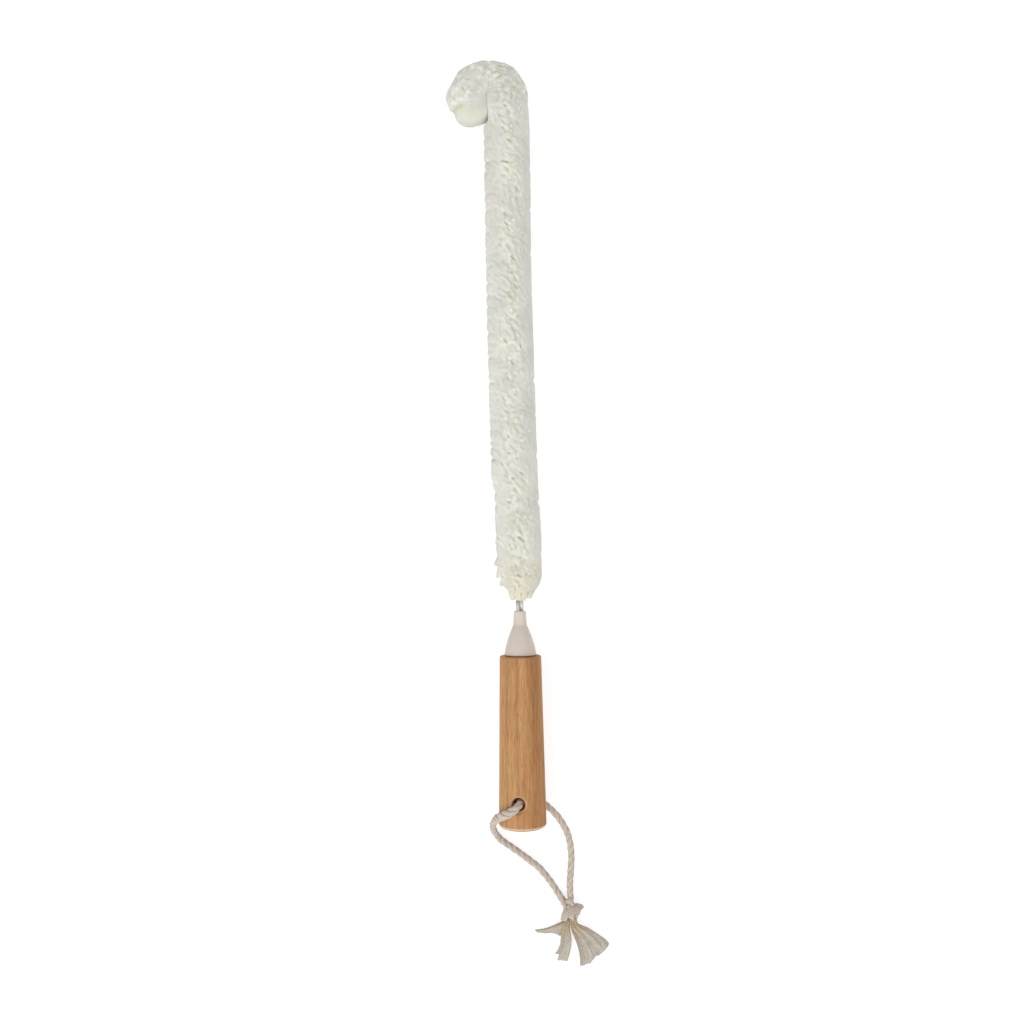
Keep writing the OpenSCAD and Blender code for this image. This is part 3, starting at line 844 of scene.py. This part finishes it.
class JUGBRUSH_OT_knot(Operator):
    """Adds the overhand knot that both runs of the cord are tied in."""

    bl_idname = "jugbrush.knot"
    bl_label = "Knot"

    def execute(self, context):
        settings = context.scene.jugbrush_cord
        tubes = [turn_rings()]
        for points, width in zip(KNOT_RUNS_MM, RUN_WIDTHS_MM):
            route = smooth_route(np.array(points) * MM, KNOT_SPACING)
            tubes.append(laid_rings(route, width * MM, -settings.lay))
        finish = cotton_finish("tied_cotton", laid_tones(settings))
        add_piece("overhand_knot", finish, "cord_knot", tubes)
        return {"FINISHED"}


# Frayed ends of the cord

TUFT_SEED = 41
# Rings and sides of a fibre, and the range of its half width in mm
FIBRE_RINGS = 11
FIBRE_SIDES = 5
FIBRE_WIDTHS = (0.12, 0.24)
# Rings and sides of the matted sheet in a tuft
SHEET_RINGS = 70
SHEET_SIDES = 160
# A tuft in mm: its two edges from the knot outwards, the outline of its end between them, its number of
# fibres, and the height and number of its folds
Tuft = namedtuple("Tuft", "left right end fibres fold folds")
TUFTS = {
    "frayed_horn": Tuft(
        [
            (38, -261.4, 3.4), (35.2, -263.3, 3), (31.2, -265.3, 2.3), (27.4, -266.9, 1.6),
            (24.2, -267.7, 1.2), (20.2, -268.1, 0.9),
        ],
        [(39.4, -261.8, 3.2), (38.2, -264.4, 3), (37, -267, 2.4), (35.8, -269.4, 1.8), (35.2, -271.4, 1.3)],
        [(22.6, -269.6, 0.9), (27, -269.9, 1), (31, -269.6, 1.2)],
        60, 0.2, 2,
    ),
    "frayed_middle": Tuft(
        [
            (38.9, -259.8, 4), (36.6, -266, 3.2), (35.2, -270.6, 2.6), (35, -274.6, 1.9),
            (34, -278, 1.2), (31.6, -281.6, 0.8),
        ],
        [(40.4, -259.6, 4), (40.2, -266.8, 3.2), (41, -272, 2.6), (40.6, -278, 1.8), (39, -285.4, 0.8)],
        [(33.6, -281.2, 1), (34.6, -281.6, 1), (33.2, -285, 0.8), (36.2, -285.2, 0.9)],
        80, 0.3, 2,
    ),
    "frayed_fan": Tuft(
        [
            (40.2, -259, 4.4), (40.9, -266.4, 3.4), (42.9, -271.4, 2.8), (44.8, -277.6, 2),
            (45.9, -283.4, 1.2), (45.9, -288.6, 0.8),
        ],
        [
            (42.7, -259, 4.4), (45, -264.2, 3.4), (48.8, -265.6, 2.8), (54, -268.9, 1.9),
            (60, -273.1, 1.2), (62.2, -275.9, 0.8),
        ],
        [
            (48.9, -287.3, 1), (51.8, -286.7, 0.9), (54, -283.4, 1.1), (57.9, -281.2, 0.9),
            (60.6, -278.6, 0.9),
        ],
        150, 0.35, 3,
    ),
}


def through(points, t):
    """Points at shares of the way along a smooth curve through the given points."""
    dense = smooth_route(points, 0.1)
    return points_at(t * (len(dense) - 1), np.arange(len(dense)), dense)


def tuft_points(tuft, across, reach):
    """Points of a tuft at shares across it and shares of its length, with its folds."""
    across_3 = across[..., None]
    between = through(tuft.left, reach) * (1 - across_3) + through(tuft.right, reach) * across_3
    outline = np.array([tuft.left[-1], *tuft.end, tuft.right[-1]])
    steps = distances(outline)
    chord = outline[0] * (1 - across_3) + outline[-1] * across_3
    points = between + reach[..., None] * (points_at(across * steps[-1], steps, outline) - chord)
    pleats = np.sin(2 * math.pi * tuft.folds * across + 1.5 * reach + 0.8 * np.sin(5 * reach + 3 * across))
    points[..., 2] += tuft.fold * np.sin(math.pi * reach) ** 0.5 * pleats
    return points


def fibre_rings(tuft, rng):
    """Rings of the fibres of a tuft: slender flat tubes that spread from the knot, wave and end blunt."""
    count = tuft.fibres
    t = np.linspace(0, 1, FIBRE_RINGS)
    across = np.clip((np.arange(count) + rng.uniform(-1, 1, count)) / count, 0, 1)[:, None] * np.ones_like(t)
    reach = rng.uniform(0.95, 1.0, count)[:, None] * t
    lines = tuft_points(tuft, across, reach)
    wave = np.sin(reach * rng.uniform(2, 7, count)[:, None] + rng.uniform(0, 6.3, count)[:, None])
    layer = rng.uniform(-1, 1, count)[:, None]
    lines += (wave * reach)[..., None] * (0.15, 0.12, 0.08)
    lines[..., 2] += layer * (1.5 - 1.15 * reach)
    ways = unit(np.gradient(lines, axis=1))
    sides = unit(np.cross(ways, UP))
    angle = angles_round(FIBRE_SIDES)
    wide = (rng.uniform(*FIBRE_WIDTHS, count)[:, None] * (1 - 0.5 * t**8))[..., None]
    rings = swept(lines, sides, np.cross(sides, ways), wide * np.cos(angle), 0.6 * wide * np.sin(angle))
    near_knot = (1 - t) ** 1.6
    depth = near_knot * (0.55 + 0.45 * rng.uniform(0, 1, count)[:, None])
    return rings * MM, depth[..., None]


def sheet_rings(tuft):
    """Rings of the matted sheet of cotton in the middle of a tuft, as one flat tube."""
    t = np.linspace(0, 1, SHEET_RINGS)[:, None]
    place = (np.arange(SHEET_SIDES) + 0.5) / SHEET_SIDES
    across = np.broadcast_to(1 - np.abs(2 * place - 1), (SHEET_RINGS, SHEET_SIDES))
    face = np.sign(0.5 - place) * np.sqrt(1 - (2 * across[0] - 1) ** 8)
    ragged = 0.5 + 0.5 * np.sin(61 * across) * np.sin(23 * across + 1)
    reach = t * (1 - 0.035 * ragged)
    points = tuft_points(tuft, across, reach)
    strands = 0.5 - 0.5 * np.cos(2 * math.pi * 3.5 * tuft.folds * across + 2.4 * reach * np.sin(7 * across))
    near_knot = (1 - t) ** 2.2
    points[..., 2] += face * (1.5 - 1.25 * reach - 0.25 * near_knot * strands)
    # The depth darkens the sheet near the knot, with painted shade in the grooves between its strands there.
    return points * MM, np.clip(near_knot * (0.3 + 1.3 * strands), 0, 1)


class JUGBRUSH_OT_frayed_ends(Operator):
    """Adds the three tufts of loose cotton below the knot."""

    bl_idname = "jugbrush.frayed_ends"
    bl_label = "Frayed ends"

    def execute(self, context):
        settings = context.scene.jugbrush_cord
        rng = np.random.default_rng(TUFT_SEED)
        tones = [
            # The groove colour is painted shade deep between the strands near the knot.
            (0.15, settings.frayed_colour), (0.5, settings.knot_end_colour), (1.0, settings.groove_shade_colour),
        ]
        finish = cotton_finish("frayed_cotton", tones)
        for name, tuft in TUFTS.items():
            add_piece(name, finish, "cord_ends", [fibre_rings(tuft, rng), sheet_rings(tuft)])
        return {"FINISHED"}


# Foam head

FOAM_SEED = 23
# Points of the foam's skin: rows along it, closer together in the crook, and sides round it
SKIN_ROWS = 616
SKIN_SIDES = 160
CROOK_ROWS = 1.8
FIRST_ROW = 1.5 * MM
# The relief of the skin is worked out on a finer grid, and then averaged
FINER = 2
# Height of the skin where no strip passes, how far the strips stand apart, and the depth of a full hollow
DEEPEST = -3 * MM
RELIEF = 0.52 * MM
CAVITY = 1.0 * MM
# Least radius of the foam
THINNEST = 2.6 * MM
# Steps along a strip, and lines across it, that are stamped into the skin
STRIP_STEPS = 56
STRIP_LINES = 17
# How the slope of the strips changes on the sides and at the lower end, swirls, and scatters, in radians
SIDE_SLOPE = 0.25
END_SLOPE = 0.75
SWIRL = 0.25
CROOK_SWIRL = 0.6
SCATTER = 0.32
# How much longer and wider one strip is than another
STRIP_LENGTHS = (0.6, 1.25)
STRIP_WIDTHS = (0.7, 1.3)
# How far the root of a strip sinks in, and the most that a clump of strips stands up
ROOT_DEPTH = 1.6 * MM
CLUMP_H = 0.35 * MM
# How far the lower end draws in, and the length over which it does
END_IN = 1.6 * MM
END_IN_L = 7 * MM
# Lengths of the slow changes along the foam
CLUMP_L = 15 * MM
SWIRL_L = 22 * MM
LUMP_L = 14 * MM
BREAK_L = 8 * MM
TIP_EDGE_L = 30 * MM
# Height of the lumps in the crook, and of the skin where it is pressed together
LUMP_H = 0.28 * MM
PRESSED_H = 0.45 * MM
# Slits between the strips on the upper side: the length of foam for each one, their half width and depth
SLIT_SPACING = 4.4 * MM
SLIT_W = 0.36 * MM
SLIT_DEPTH = 1.3 * MM
# Short blunt ends that stand up between the strips: their number on the shaft and round the crook's eye, and
# the angles round the shaft of the rows that they stand in, with the share of each row
STUBS = 700
EYE_STUBS = 130
STUB_ROWS = {58: 0.45, 80: 0.25, 240: 0.15, 275: 0.15}
EYE_ROWS = (104, 256)
STUB_W = 1.15 * MM
STUB_OUT = 0.48 * MM
# Notches between the clumps of strips: the ranges of their depths and steps in mm, their slant, and their
# half widths on the left and on the right, where there is only one for every four on the left
NOTCH_DEPTHS = (0.4, 2.3)
NOTCH_STEPS = (3, 9)
NOTCH_SLANT = math.tan(0.22)
LEFT_NOTCH_W = 0.9 * MM
RIGHT_NOTCH_W = 1.2 * MM
RIGHT_NOTCHES = 4
# Distance along the foam and the depth there by which it is narrower than its plain shape, on its left and
# on its right, which goes on as the crook's outer rim
LEFT_CUTS_MM = [(0, 2.8), (12, 2.8), (18, 1.3), (60, 1.3), (66, 0), (300, 0)]
RIGHT_CUTS_MM = [
    (0, 0), (20, 0), (35, -0.4), (60, 0.3), (130, 0.5), (180, 0.9), (225, 0.5), (255, 0.7), (268, 1.4),
    (274, 1), (279, 0.1), (285, 1.5), (291, 0), (298, -0.5), (304, -0.3), (307, 0),
]


class Waves:
    """Smooth random heights over the foam, made of a few waves that close up round it."""

    def __init__(self, rng, length, count=10, most_round=5):
        self.along = rng.normal(0, 2 * math.pi / length, count)
        self.round = rng.integers(-most_round, most_round + 1, count)
        self.phase = rng.uniform(0, 2 * math.pi, count)

    def at(self, s, a):
        """Height at a distance along the foam and an angle round it, about 0 and mostly within 1."""
        total = sum(np.sin(k * s + m * a + p) for k, m, p in zip(self.along, self.round, self.phase))
        return total / math.sqrt(len(self.along) / 2)


def angle_from(a, middle):
    """Angle between two places round the foam, from -pi to pi."""
    return (a - middle + math.pi) % (2 * math.pi) - math.pi


def crook_share(s):
    """How far a place is in the crook or the tip, from 0 on the shaft to 1."""
    return rise(s, SHAFT_L - 6 * MM, 8 * MM)


def slit_share(s, a, rng):
    """How far a place is in a slit, from 0 to 1: they slant on the shaft and lie any way in the crook."""
    share = np.zeros(s.shape)
    for middle in np.arange(12 * MM, DOME_FROM - 5 * MM, SLIT_SPACING):
        bent = middle > SHAFT_L
        across = FOAM_R * angle_from(a, math.radians(rng.normal(70 if bent else 92, 12)))
        up = (s - middle - rng.uniform(-0.4, 0.4) * SLIT_SPACING) * crook_scale(s, a)
        slant = math.radians(rng.normal(45, 60 if bent else 12))
        off = across * math.sin(slant) - up * math.cos(slant)
        on = across * math.cos(slant) + up * math.sin(slant)
        half_l = rng.uniform(0.9, 2.2) * MM
        slit = (0.6 if bent else 1) * np.exp(-((off / SLIT_W) ** 2) - (on / half_l) ** 4)
        share = np.maximum(share, rng.uniform(0.4, 1) * slit)
    return share


def dips(s, places, depths, width, power):
    """Depth of the dips with their middles at some places."""
    return sum(deep * np.exp(-(np.abs((s - at) / width) ** power)) for at, deep in zip(places, depths))


def notch_depth(s, a, rng):
    """Depth of the slanting notches between the clumps of strips on the left, and of a few on the right."""
    places, depths = [], []
    place = NOTCH_STEPS[0] * MM
    while place < FOAM_L:
        places.append(place)
        depths.append(rng.uniform(*NOTCH_DEPTHS) * MM)
        place += rng.uniform(*NOTCH_STEPS) * MM
    breaks = Waves(rng, BREAK_L).at(s, a)
    turn = angle_from(a, math.pi)
    row = s - turn * FOAM_R * NOTCH_SLANT
    left = np.clip(1 - (turn / math.radians(55)) ** 2, 0, 1)
    right = np.clip(1 - (angle_from(a, 0) / math.radians(50)) ** 2, 0, 1)
    on_left = dips(row, places, depths, LEFT_NOTCH_W, 1.2)
    on_right = 0.45 * dips(s, places[::RIGHT_NOTCHES], depths, RIGHT_NOTCH_W, 2)
    return (left * on_left + right * on_right) * np.clip(0.85 + 0.45 * breaks, 0.35, 1.3)


def relief_share(s, a):
    """How far the strips lie apart in height: most at the top, bottom and crook, least on the right."""
    top = np.exp(-((angle_from(a, math.radians(92)) / 0.46) ** 2))
    bottom = np.exp(-((angle_from(a, math.radians(275)) / 0.7) ** 2))
    return np.maximum(0.22 + 0.66 * np.maximum(top, bottom), crook_share(s))


def side_cut(s, a):
    """Depth by which the foam is narrower on its left and on its right than its plain shape."""
    left_at, left_cut = np.array(LEFT_CUTS_MM).T * MM
    right_at, right_cut = np.array(RIGHT_CUTS_MM).T * MM
    left = np.maximum(-np.cos(a), 0) ** 1.5
    right = np.maximum(np.cos(a), 0) ** 1.5
    return left * np.interp(s, left_at, left_cut) + right * np.interp(s, right_at, right_cut)


def filled_crease(s, a):
    """Radius of the foam with its round sides filled out where the tip and the shaft press together."""
    limit = foam_radius(s, a)
    share = np.clip(-2 * np.cos(a), 0, 1) * np.clip(1 + 2 * np.sin(a), 0, 1)
    share *= rise(s, SHAFT_L - LEG_L, NECK_IN_L)
    squarer = (np.abs(np.cos(a)) ** 8 + np.abs(np.sin(a)) ** 8) ** (-1 / 8)
    past = rise(s, DOME_FROM, DOME_R)
    dome = (1 - past**3.2) ** (1 / 3.2) / np.maximum(np.sqrt(1 - past**2), 0.01)
    dome *= np.where(s > DOME_FROM, CROOK_R / DOME_R + 0.08, 1.0)
    fuller = np.minimum(limit * squarer * dome, flat_radius(CROOK_R, -np.cos(a)))
    return limit + share * np.maximum(fuller - limit, 0)


def skin_rows(count):
    """Distances along the foam of that many rows of points on its skin."""
    bend = CROOK_ROWS * (DOME_FROM - SHAFT_L)
    dome = math.pi / 2 * DOME_R
    at = np.linspace(FIRST_ROW, SHAFT_L + bend + dome, count)
    s = np.interp(at, [0, SHAFT_L, SHAFT_L + bend], [0, SHAFT_L, DOME_FROM])
    turn = np.clip((at - SHAFT_L - bend) / dome, 0, 0.99) * math.pi / 2
    return s + DOME_R * np.sin(turn)


def strip_places(settings, rng):
    """Distance along the foam and angle round it of the middle of each strip."""
    golden = math.pi * (3 - math.sqrt(5))
    stretch = FOAM_R / CROOK_R + 1
    grid = np.linspace(0, FOAM_L, 2000)
    weight = np.where(in_crook(grid), stretch, 1.0) * (grid <= DOME_FROM + 1 * MM)
    share = np.cumsum(weight)
    count = round(settings.strips * share[-1] / len(grid))
    order = (np.arange(count) + 0.5) / count
    s = np.interp(order * share[-1], share, grid)
    a = (np.arange(count) * golden) % (2 * math.pi)
    spread = math.sqrt(2 * math.pi * FOAM_R * FOAM_L / settings.strips)
    s = s + rng.normal(0, 0.3 * spread, count)
    a = a + rng.normal(0, 0.3 * spread / FOAM_R, count)
    kept = ~in_crook(s) | (rng.uniform(0, stretch, count) < np.maximum(crook_scale(s, a), 0.35))
    return s[kept], a[kept]


def strip_lines(s, a, settings, rng):
    """Middle lines of the strips on the skin, with the heights of their tops and their widths."""
    count = len(s)
    clumps, swirl = Waves(rng, CLUMP_L), Waves(rng, SWIRL_L)
    end = 1 - rise(s, 0, END_ROUND_L)
    crook = crook_share(s)
    relief = relief_share(s, a)
    t = np.linspace(0, 1, STRIP_STEPS)
    slope = settings.slope + SIDE_SLOPE * np.cos(a) + (SWIRL + CROOK_SWIRL * crook) * swirl.at(s, a)
    slope = slope + rng.normal(0, SCATTER + 0.25 * crook, count) + END_SLOPE * end
    curl = rng.normal(0.3, 0.4, count) * (1 - end)
    length = settings.strip_l * rng.uniform(*STRIP_LENGTHS, count) * (1 - 0.3 * crook)
    angle = slope[:, None] + curl[:, None] * (t - 0.5)
    step = length[:, None] / (STRIP_STEPS - 1)
    across = np.cumsum(np.cos(angle) * step, 1)
    down = np.cumsum(np.sin(angle) * step, 1)
    across -= across[:, STRIP_STEPS // 2, None]
    down -= down[:, STRIP_STEPS // 2, None]
    along = s[:, None] - down / crook_scale(s, a)[:, None]
    turned = a[:, None] - across / FOAM_R
    wide = settings.strip_w * (rng.uniform(*STRIP_WIDTHS, count) * (1 + 0.3 * crook))[:, None]
    wide = wide * (1 - np.abs(2 * t - 1) ** 12) ** 0.5
    lift = relief * (0.3 * clumps.at(s, a) + rng.normal(0, 0.3, count)) * RELIEF
    root = ROOT_DEPTH * (1 - rise(t, 0, 0.5)) ** 2
    tip = (relief * rng.uniform(-0.15, 0.5, count))[:, None] * MM * rise(t, 0.5, 0.5) ** 2
    return along, turned, np.minimum(lift[:, None], CLUMP_H) - root - tip, wide


def stub_lines(rng):
    """Middle lines of the short ends that stand up, most of them in a row to the right of the top."""
    s = np.concatenate([rng.uniform(8 * MM, SHAFT_L, STUBS), SHAFT_L + rng.uniform(-4, 18, EYE_STUBS) * MM])
    row = rng.choice(list(STUB_ROWS), STUBS, p=list(STUB_ROWS.values())) + rng.normal(0, 12, STUBS)
    a = np.radians(np.concatenate([row, rng.choice(EYE_ROWS, EYE_STUBS) + rng.normal(0, 13, EYE_STUBS)]))
    size = rng.uniform(0.7, 1.3, len(s))[:, None] * STUB_W
    t = np.linspace(-0.5, 0.5, 9)
    along = s[:, None] - 0.7 * size * t / crook_scale(s, a)[:, None]
    turned = a[:, None] - 0.7 * size * t / FOAM_R
    top = (rng.uniform(-0.7, 1, len(s)) * STUB_OUT)[:, None] - 0.3 * MM * (2 * t) ** 4
    return along, turned, top, size * np.sqrt(1.02 - (2 * t) ** 4)


def stamped_strips(height, rows, along, turned, top, wide, settings):
    """The heights of the skin on its fine grid, raised to the top of each strip that passes."""
    sides = SKIN_SIDES * FINER
    scale = crook_scale(along, turned)
    on_s = np.gradient(along, axis=1) * scale
    on_a = np.gradient(turned, axis=1) * FOAM_R
    step = np.hypot(on_s, on_a)
    for x in np.linspace(-1, 1, STRIP_LINES):
        s = along - x * wide / 2 * on_a / step / scale
        a = turned + x * wide / 2 * on_s / step / FOAM_R
        row = np.rint(np.interp(s, rows, np.arange(len(rows)))).astype(int)
        side = np.rint(a / (2 * math.pi) * sides).astype(int) % sides
        np.maximum.at(height, (row, side), top - settings.strip_t / 2 * (1 - math.sqrt(1 - x**4)))
    return height


def blurred(height, times):
    """The heights, each mixed with its neighbours that number of times."""
    for _ in range(times):
        padded = np.concatenate([height[:1], height, height[-1:]])
        height = (padded[:-2] + 2 * padded[1:-1] + padded[2:]) / 4
        height = (np.roll(height, 1, 1) + 2 * height + np.roll(height, -1, 1)) / 4
    return height


def skin_heights(s, a, rows, settings, rng):
    """Heights of the skin over the foam's plain shape on its fine grid, and how far they lie in hollows."""
    strips = strip_lines(*strip_places(settings, rng), settings, rng)
    height = stamped_strips(np.full(s.shape, DEEPEST), rows, *strips, settings)
    height = np.maximum(height, -RELIEF * (0.3 + 0.5 * relief_share(s, a)))
    lumps = Waves(rng, LUMP_L, 12, 8).at(s, a)
    height += LUMP_H * crook_share(s) * np.clip(crook_scale(s, a) - 0.3, 0, 1) * lumps
    height -= SLIT_DEPTH * slit_share(s, a, rng)
    height = stamped_strips(height, rows, *stub_lines(rng), settings)
    edge = DOME_FROM + (3 * np.cos(a) - 2.5 + 0.9 * Waves(rng, TIP_EDGE_L).at(0 * s, a)) * MM
    smooth = rise(s, edge, 2.5 * MM)
    outer = np.clip(2 * np.cos(a), 0, 1)
    near_edge = 1 - rise(s, DOME_FROM + 1 * MM, 6 * MM)
    height = height * (1 - smooth) - (0.1 + 1.5 * outer * near_edge) * MM * smooth
    pressed = np.clip(-1.6 * np.cos(a) - 0.3, 0, 1) * rise(s, SHAFT_L - LEG_L, NECK_IN_L)
    height = blurred(height * (1 - 0.7 * pressed) + PRESSED_H * pressed, 1)
    hollow = blurred(height, 60) - height
    height = height - notch_depth(s, a, rng) * (1 - smooth) * (1 - pressed) - side_cut(s, a)
    return height - END_IN * (1 - rise(s, 0, END_IN_L)), hollow


def skin_rings(settings, rng):
    """Rings of the foam's skin from its lower end to its tip, with the depth of each point in its gaps."""
    rows = skin_rows(SKIN_ROWS * FINER)
    angles = angles_round(SKIN_SIDES * FINER)
    fine = skin_heights(*np.meshgrid(rows, angles, indexing="ij"), rows, settings, rng)
    height, hollow = [grid.reshape(SKIN_ROWS, FINER, SKIN_SIDES, FINER).mean((1, 3)) for grid in fine]
    s, a = np.meshgrid(skin_rows(SKIN_ROWS), angles[::FINER], indexing="ij")
    limit = filled_crease(s, a)
    radius = np.where(s < DOME_FROM, np.maximum(limit + height, THINNEST), limit * (1 + height / DOME_R))
    # The depth paints highlights and shade into the skin. It is raised a little over the smooth tip, which
    # paints the tip a little darker.
    tip = 0.08 * rise(s, DOME_FROM, 3 * MM)
    return on_foam(s, a, radius), np.clip(0.35 + tip + hollow / CAVITY, 0, 1)


# Real strips at the lower end in mm and degrees: angle round the foam, where they start and end along it,
# how far their ends stand off the skin, and their width
FLAPS = [
    (96, 11, 1, 1.1, 3.2), (70, 10, 0.7, 1, 3.4), (40, 10, 1.8, 0.5, 3.4), (12, 10, 1.4, 0.3, 3.4),
    (-20, 10, 1.8, 0.3, 3.4), (-52, 10, 1.2, 0.5, 3.4), (-84, 10, 1.6, 0.5, 3.4), (-118, 10, 1.2, 0.7, 3.4),
    (-150, 9, 1.6, 1, 3), (176, 8, 1.6, 1.6, 2.8), (148, 9, 0.9, 1.6, 3), (122, 9, 2.2, 1.3, 3),
    (84, 15, 5.4, 0.7, 2.8), (110, 13, 6.6, 1.2, 2.8), (60, 17, 7.4, 0.4, 3), (136, 14, 7.6, 1.4, 2.8),
    (176, 15, 8.4, 2.6, 3), (183, 21, 13, 2.6, 3.2), (178, 28, 19.6, 2, 3.2), (150, 22, 13.6, 1.3, 2.8),
    (154, 30, 20.4, 0.9, 2.8), (205, 24, 16, 1.4, 3), (210, 16, 8.8, 1.6, 3), (124, 24, 13.2, 0.7, 2.6),
    (186, 40, 31, 0.9, 2.8), (170, 52, 43.4, 0.7, 2.8),
]
FLAP_RINGS = 12
FLAP_SIDES = 16
FLAP_ROOT = 1.8 * MM
# Depth of the end strips for the foam's painted highlights and shade, a little lighter than the plain skin
FLAP_DEPTH = 0.3


def squarish(shares):
    """Shares of a circle's width, moved out towards the corners of a square."""
    return np.sign(shares) * np.abs(shares) ** 0.5


def flap_rings(settings, rng):
    """Rings of the blunt strips at the lower end, each rising out of the skin and bending a little."""
    at, start, stop, out, wide = np.array(FLAPS, float).T[..., None]
    t = np.linspace(0, 1, FLAP_RINGS)
    along = (start + (stop - start) * t) * MM
    bend = rng.normal(0, 0.12, len(FLAPS))[:, None]
    a = np.radians(at) + bend * (t - 1) ** 2 - 0.1 * (1 - t)
    skin = foam_radius(along, a) - side_cut(along, a)
    thick = settings.strip_t * rng.uniform(0.9, 1.2, len(FLAPS))[:, None]
    lines = on_foam(along, a, skin + out * MM * t**1.5 - FLAP_ROOT * (1 - t) - thick / 2)
    ways = unit(np.gradient(lines, axis=1))
    sides = unit(np.cross(ways, unit(lines - foam_point(along))))
    angle = angles_round(FLAP_SIDES) + math.pi / FLAP_SIDES
    blunt = np.ones(FLAP_RINGS)
    blunt[-2:] = 0.97, 0.8
    across = (wide * MM / 2 * blunt)[..., None] * squarish(np.cos(angle))
    high = (thick / 2 * blunt)[..., None] * squarish(np.sin(angle))
    return swept(lines, sides, np.cross(sides, ways), across, high)


class JUGBRUSH_OT_foam(Operator):
    """Adds the foam head: its skin of bent strips with the smooth tip, and the loose strips at its end."""

    bl_idname = "jugbrush.foam"
    bl_label = "Foam head"

    def execute(self, context):
        settings = context.scene.jugbrush_foam
        finish = foam_finish(settings)
        rng = np.random.default_rng(FOAM_SEED)
        add_piece("foam_skin", finish, "foam_bristles", [skin_rings(settings, rng)])
        flaps = [(flap_rings(settings, rng), FLAP_DEPTH)]
        add_piece("foam_end_strips", finish, "foam_bristles", flaps)
        return {"FINISHED"}


# Wire, ferrule and handle

WIRE_SIDES = 14
WIRE_RINGS_A_LAY = 32
FOLD_RINGS = 10
WIRE_GAP = 0.06 * MM


def wire_rings():
    """Rings of the wire: up one side of the twist, round the fold at the tip, and down the other side."""
    radius = WIRE_D / 2
    offset = radius + WIRE_GAP / 2
    low = -WIRE_BARE_L - FERRULE_L - SPIGOT_L - WIRE_TAIL_L
    high = FOAM_L - WIRE_SHORT_OF_TIP - offset - radius
    run = np.linspace(low, high, round((high - low) / WIRE_LAY * WIRE_RINGS_A_LAY))
    fold = np.linspace(0, math.pi, FOLD_RINGS)[1:-1]
    s = np.concatenate([run, np.full(len(fold), high), run[::-1]])
    bend = np.concatenate([np.zeros(len(run)), fold, np.full(len(run), math.pi)])[:, None]
    ways = line_dir(s)
    sides = unit(np.cross(ways, UP))
    turn = (2 * math.pi * (s + WIRE_BARE_L / 2) / WIRE_LAY)[:, None]
    twist = np.cos(turn) * sides + np.sin(turn) * np.cross(sides, ways)
    out = np.cos(bend) * twist + np.sin(bend) * ways
    angle = angles_round(WIRE_SIDES)
    lines = line_point(s) + offset * out
    return swept(lines, out, np.cross(twist, ways), radius * np.cos(angle), radius * np.sin(angle))


class JUGBRUSH_OT_wire(Operator):
    """Adds the steel wire, folded at the tip and twisted on itself."""

    bl_idname = "jugbrush.wire"
    bl_label = "Twisted wire"

    def execute(self, context):
        finish = steel_finish(context.scene.jugbrush_handle)
        add_piece("twisted_wire", finish, "core_wire", [(wire_rings(), 0.0)])
        return {"FINISHED"}


def finish_node(name, material):
    """Gives a CAD node its material."""
    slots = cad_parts[name].material_slots
    if not slots:
        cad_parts[name].data.materials.append(material)
    for slot in slots:
        slot.material = material


class JUGBRUSH_OT_handle(Operator):
    """Gives the bamboo handle and the moulded ferrule their finishes."""

    bl_idname = "jugbrush.handle"
    bl_label = "Handle and ferrule"

    def execute(self, context):
        settings = context.scene.jugbrush_handle
        finish_node("handle", bamboo_finish(settings))
        finish_node("ferrule", ferrule_finish(settings))
        return {"FINISHED"}


class JUGBRUSH_PT_panel(Panel):
    """Lists the pieces of the brush with their settings."""

    bl_idname = "JUGBRUSH_PT_panel"
    bl_label = "Jug Brush"
    bl_space_type = "VIEW_3D"
    bl_region_type = "UI"
    bl_category = "Jug Brush"

    def draw(self, context):
        for operator in OPERATORS:
            self.layout.operator(operator.bl_idname)
        for name in SETTINGS:
            group = getattr(context.scene, name)
            column = self.layout.column()
            for key in group.__annotations__:
                column.prop(group, key)


OPERATORS = (
    JUGBRUSH_OT_stage,
    JUGBRUSH_OT_cord,
    JUGBRUSH_OT_knot,
    JUGBRUSH_OT_frayed_ends,
    JUGBRUSH_OT_foam,
    JUGBRUSH_OT_wire,
    JUGBRUSH_OT_handle,
)
SETTINGS = {
    "jugbrush_foam": FoamSettings,
    "jugbrush_cord": CordSettings,
    "jugbrush_handle": HandleSettings,
    "jugbrush_stage": StageSettings,
}


def register():
    """Registers the settings, the operators and the panel."""
    for name, group in SETTINGS.items():
        bpy.utils.register_class(group)
        setattr(bpy.types.Scene, name, PointerProperty(type=group))
    for operator in OPERATORS:
        bpy.utils.register_class(operator)
    bpy.utils.register_class(JUGBRUSH_PT_panel)


def unregister():
    """Takes them all away again."""
    bpy.utils.unregister_class(JUGBRUSH_PT_panel)
    for operator in reversed(OPERATORS):
        bpy.utils.unregister_class(operator)
    for name, group in SETTINGS.items():
        delattr(bpy.types.Scene, name)
        bpy.utils.unregister_class(group)


def main():
    """Builds the whole scene, piece by piece."""
    register()
    bpy.ops.jugbrush.stage()
    bpy.ops.jugbrush.cord()
    bpy.ops.jugbrush.knot()
    bpy.ops.jugbrush.frayed_ends()
    bpy.ops.jugbrush.foam()
    bpy.ops.jugbrush.wire()
    bpy.ops.jugbrush.handle()


if __name__ == "__main__":
    main()
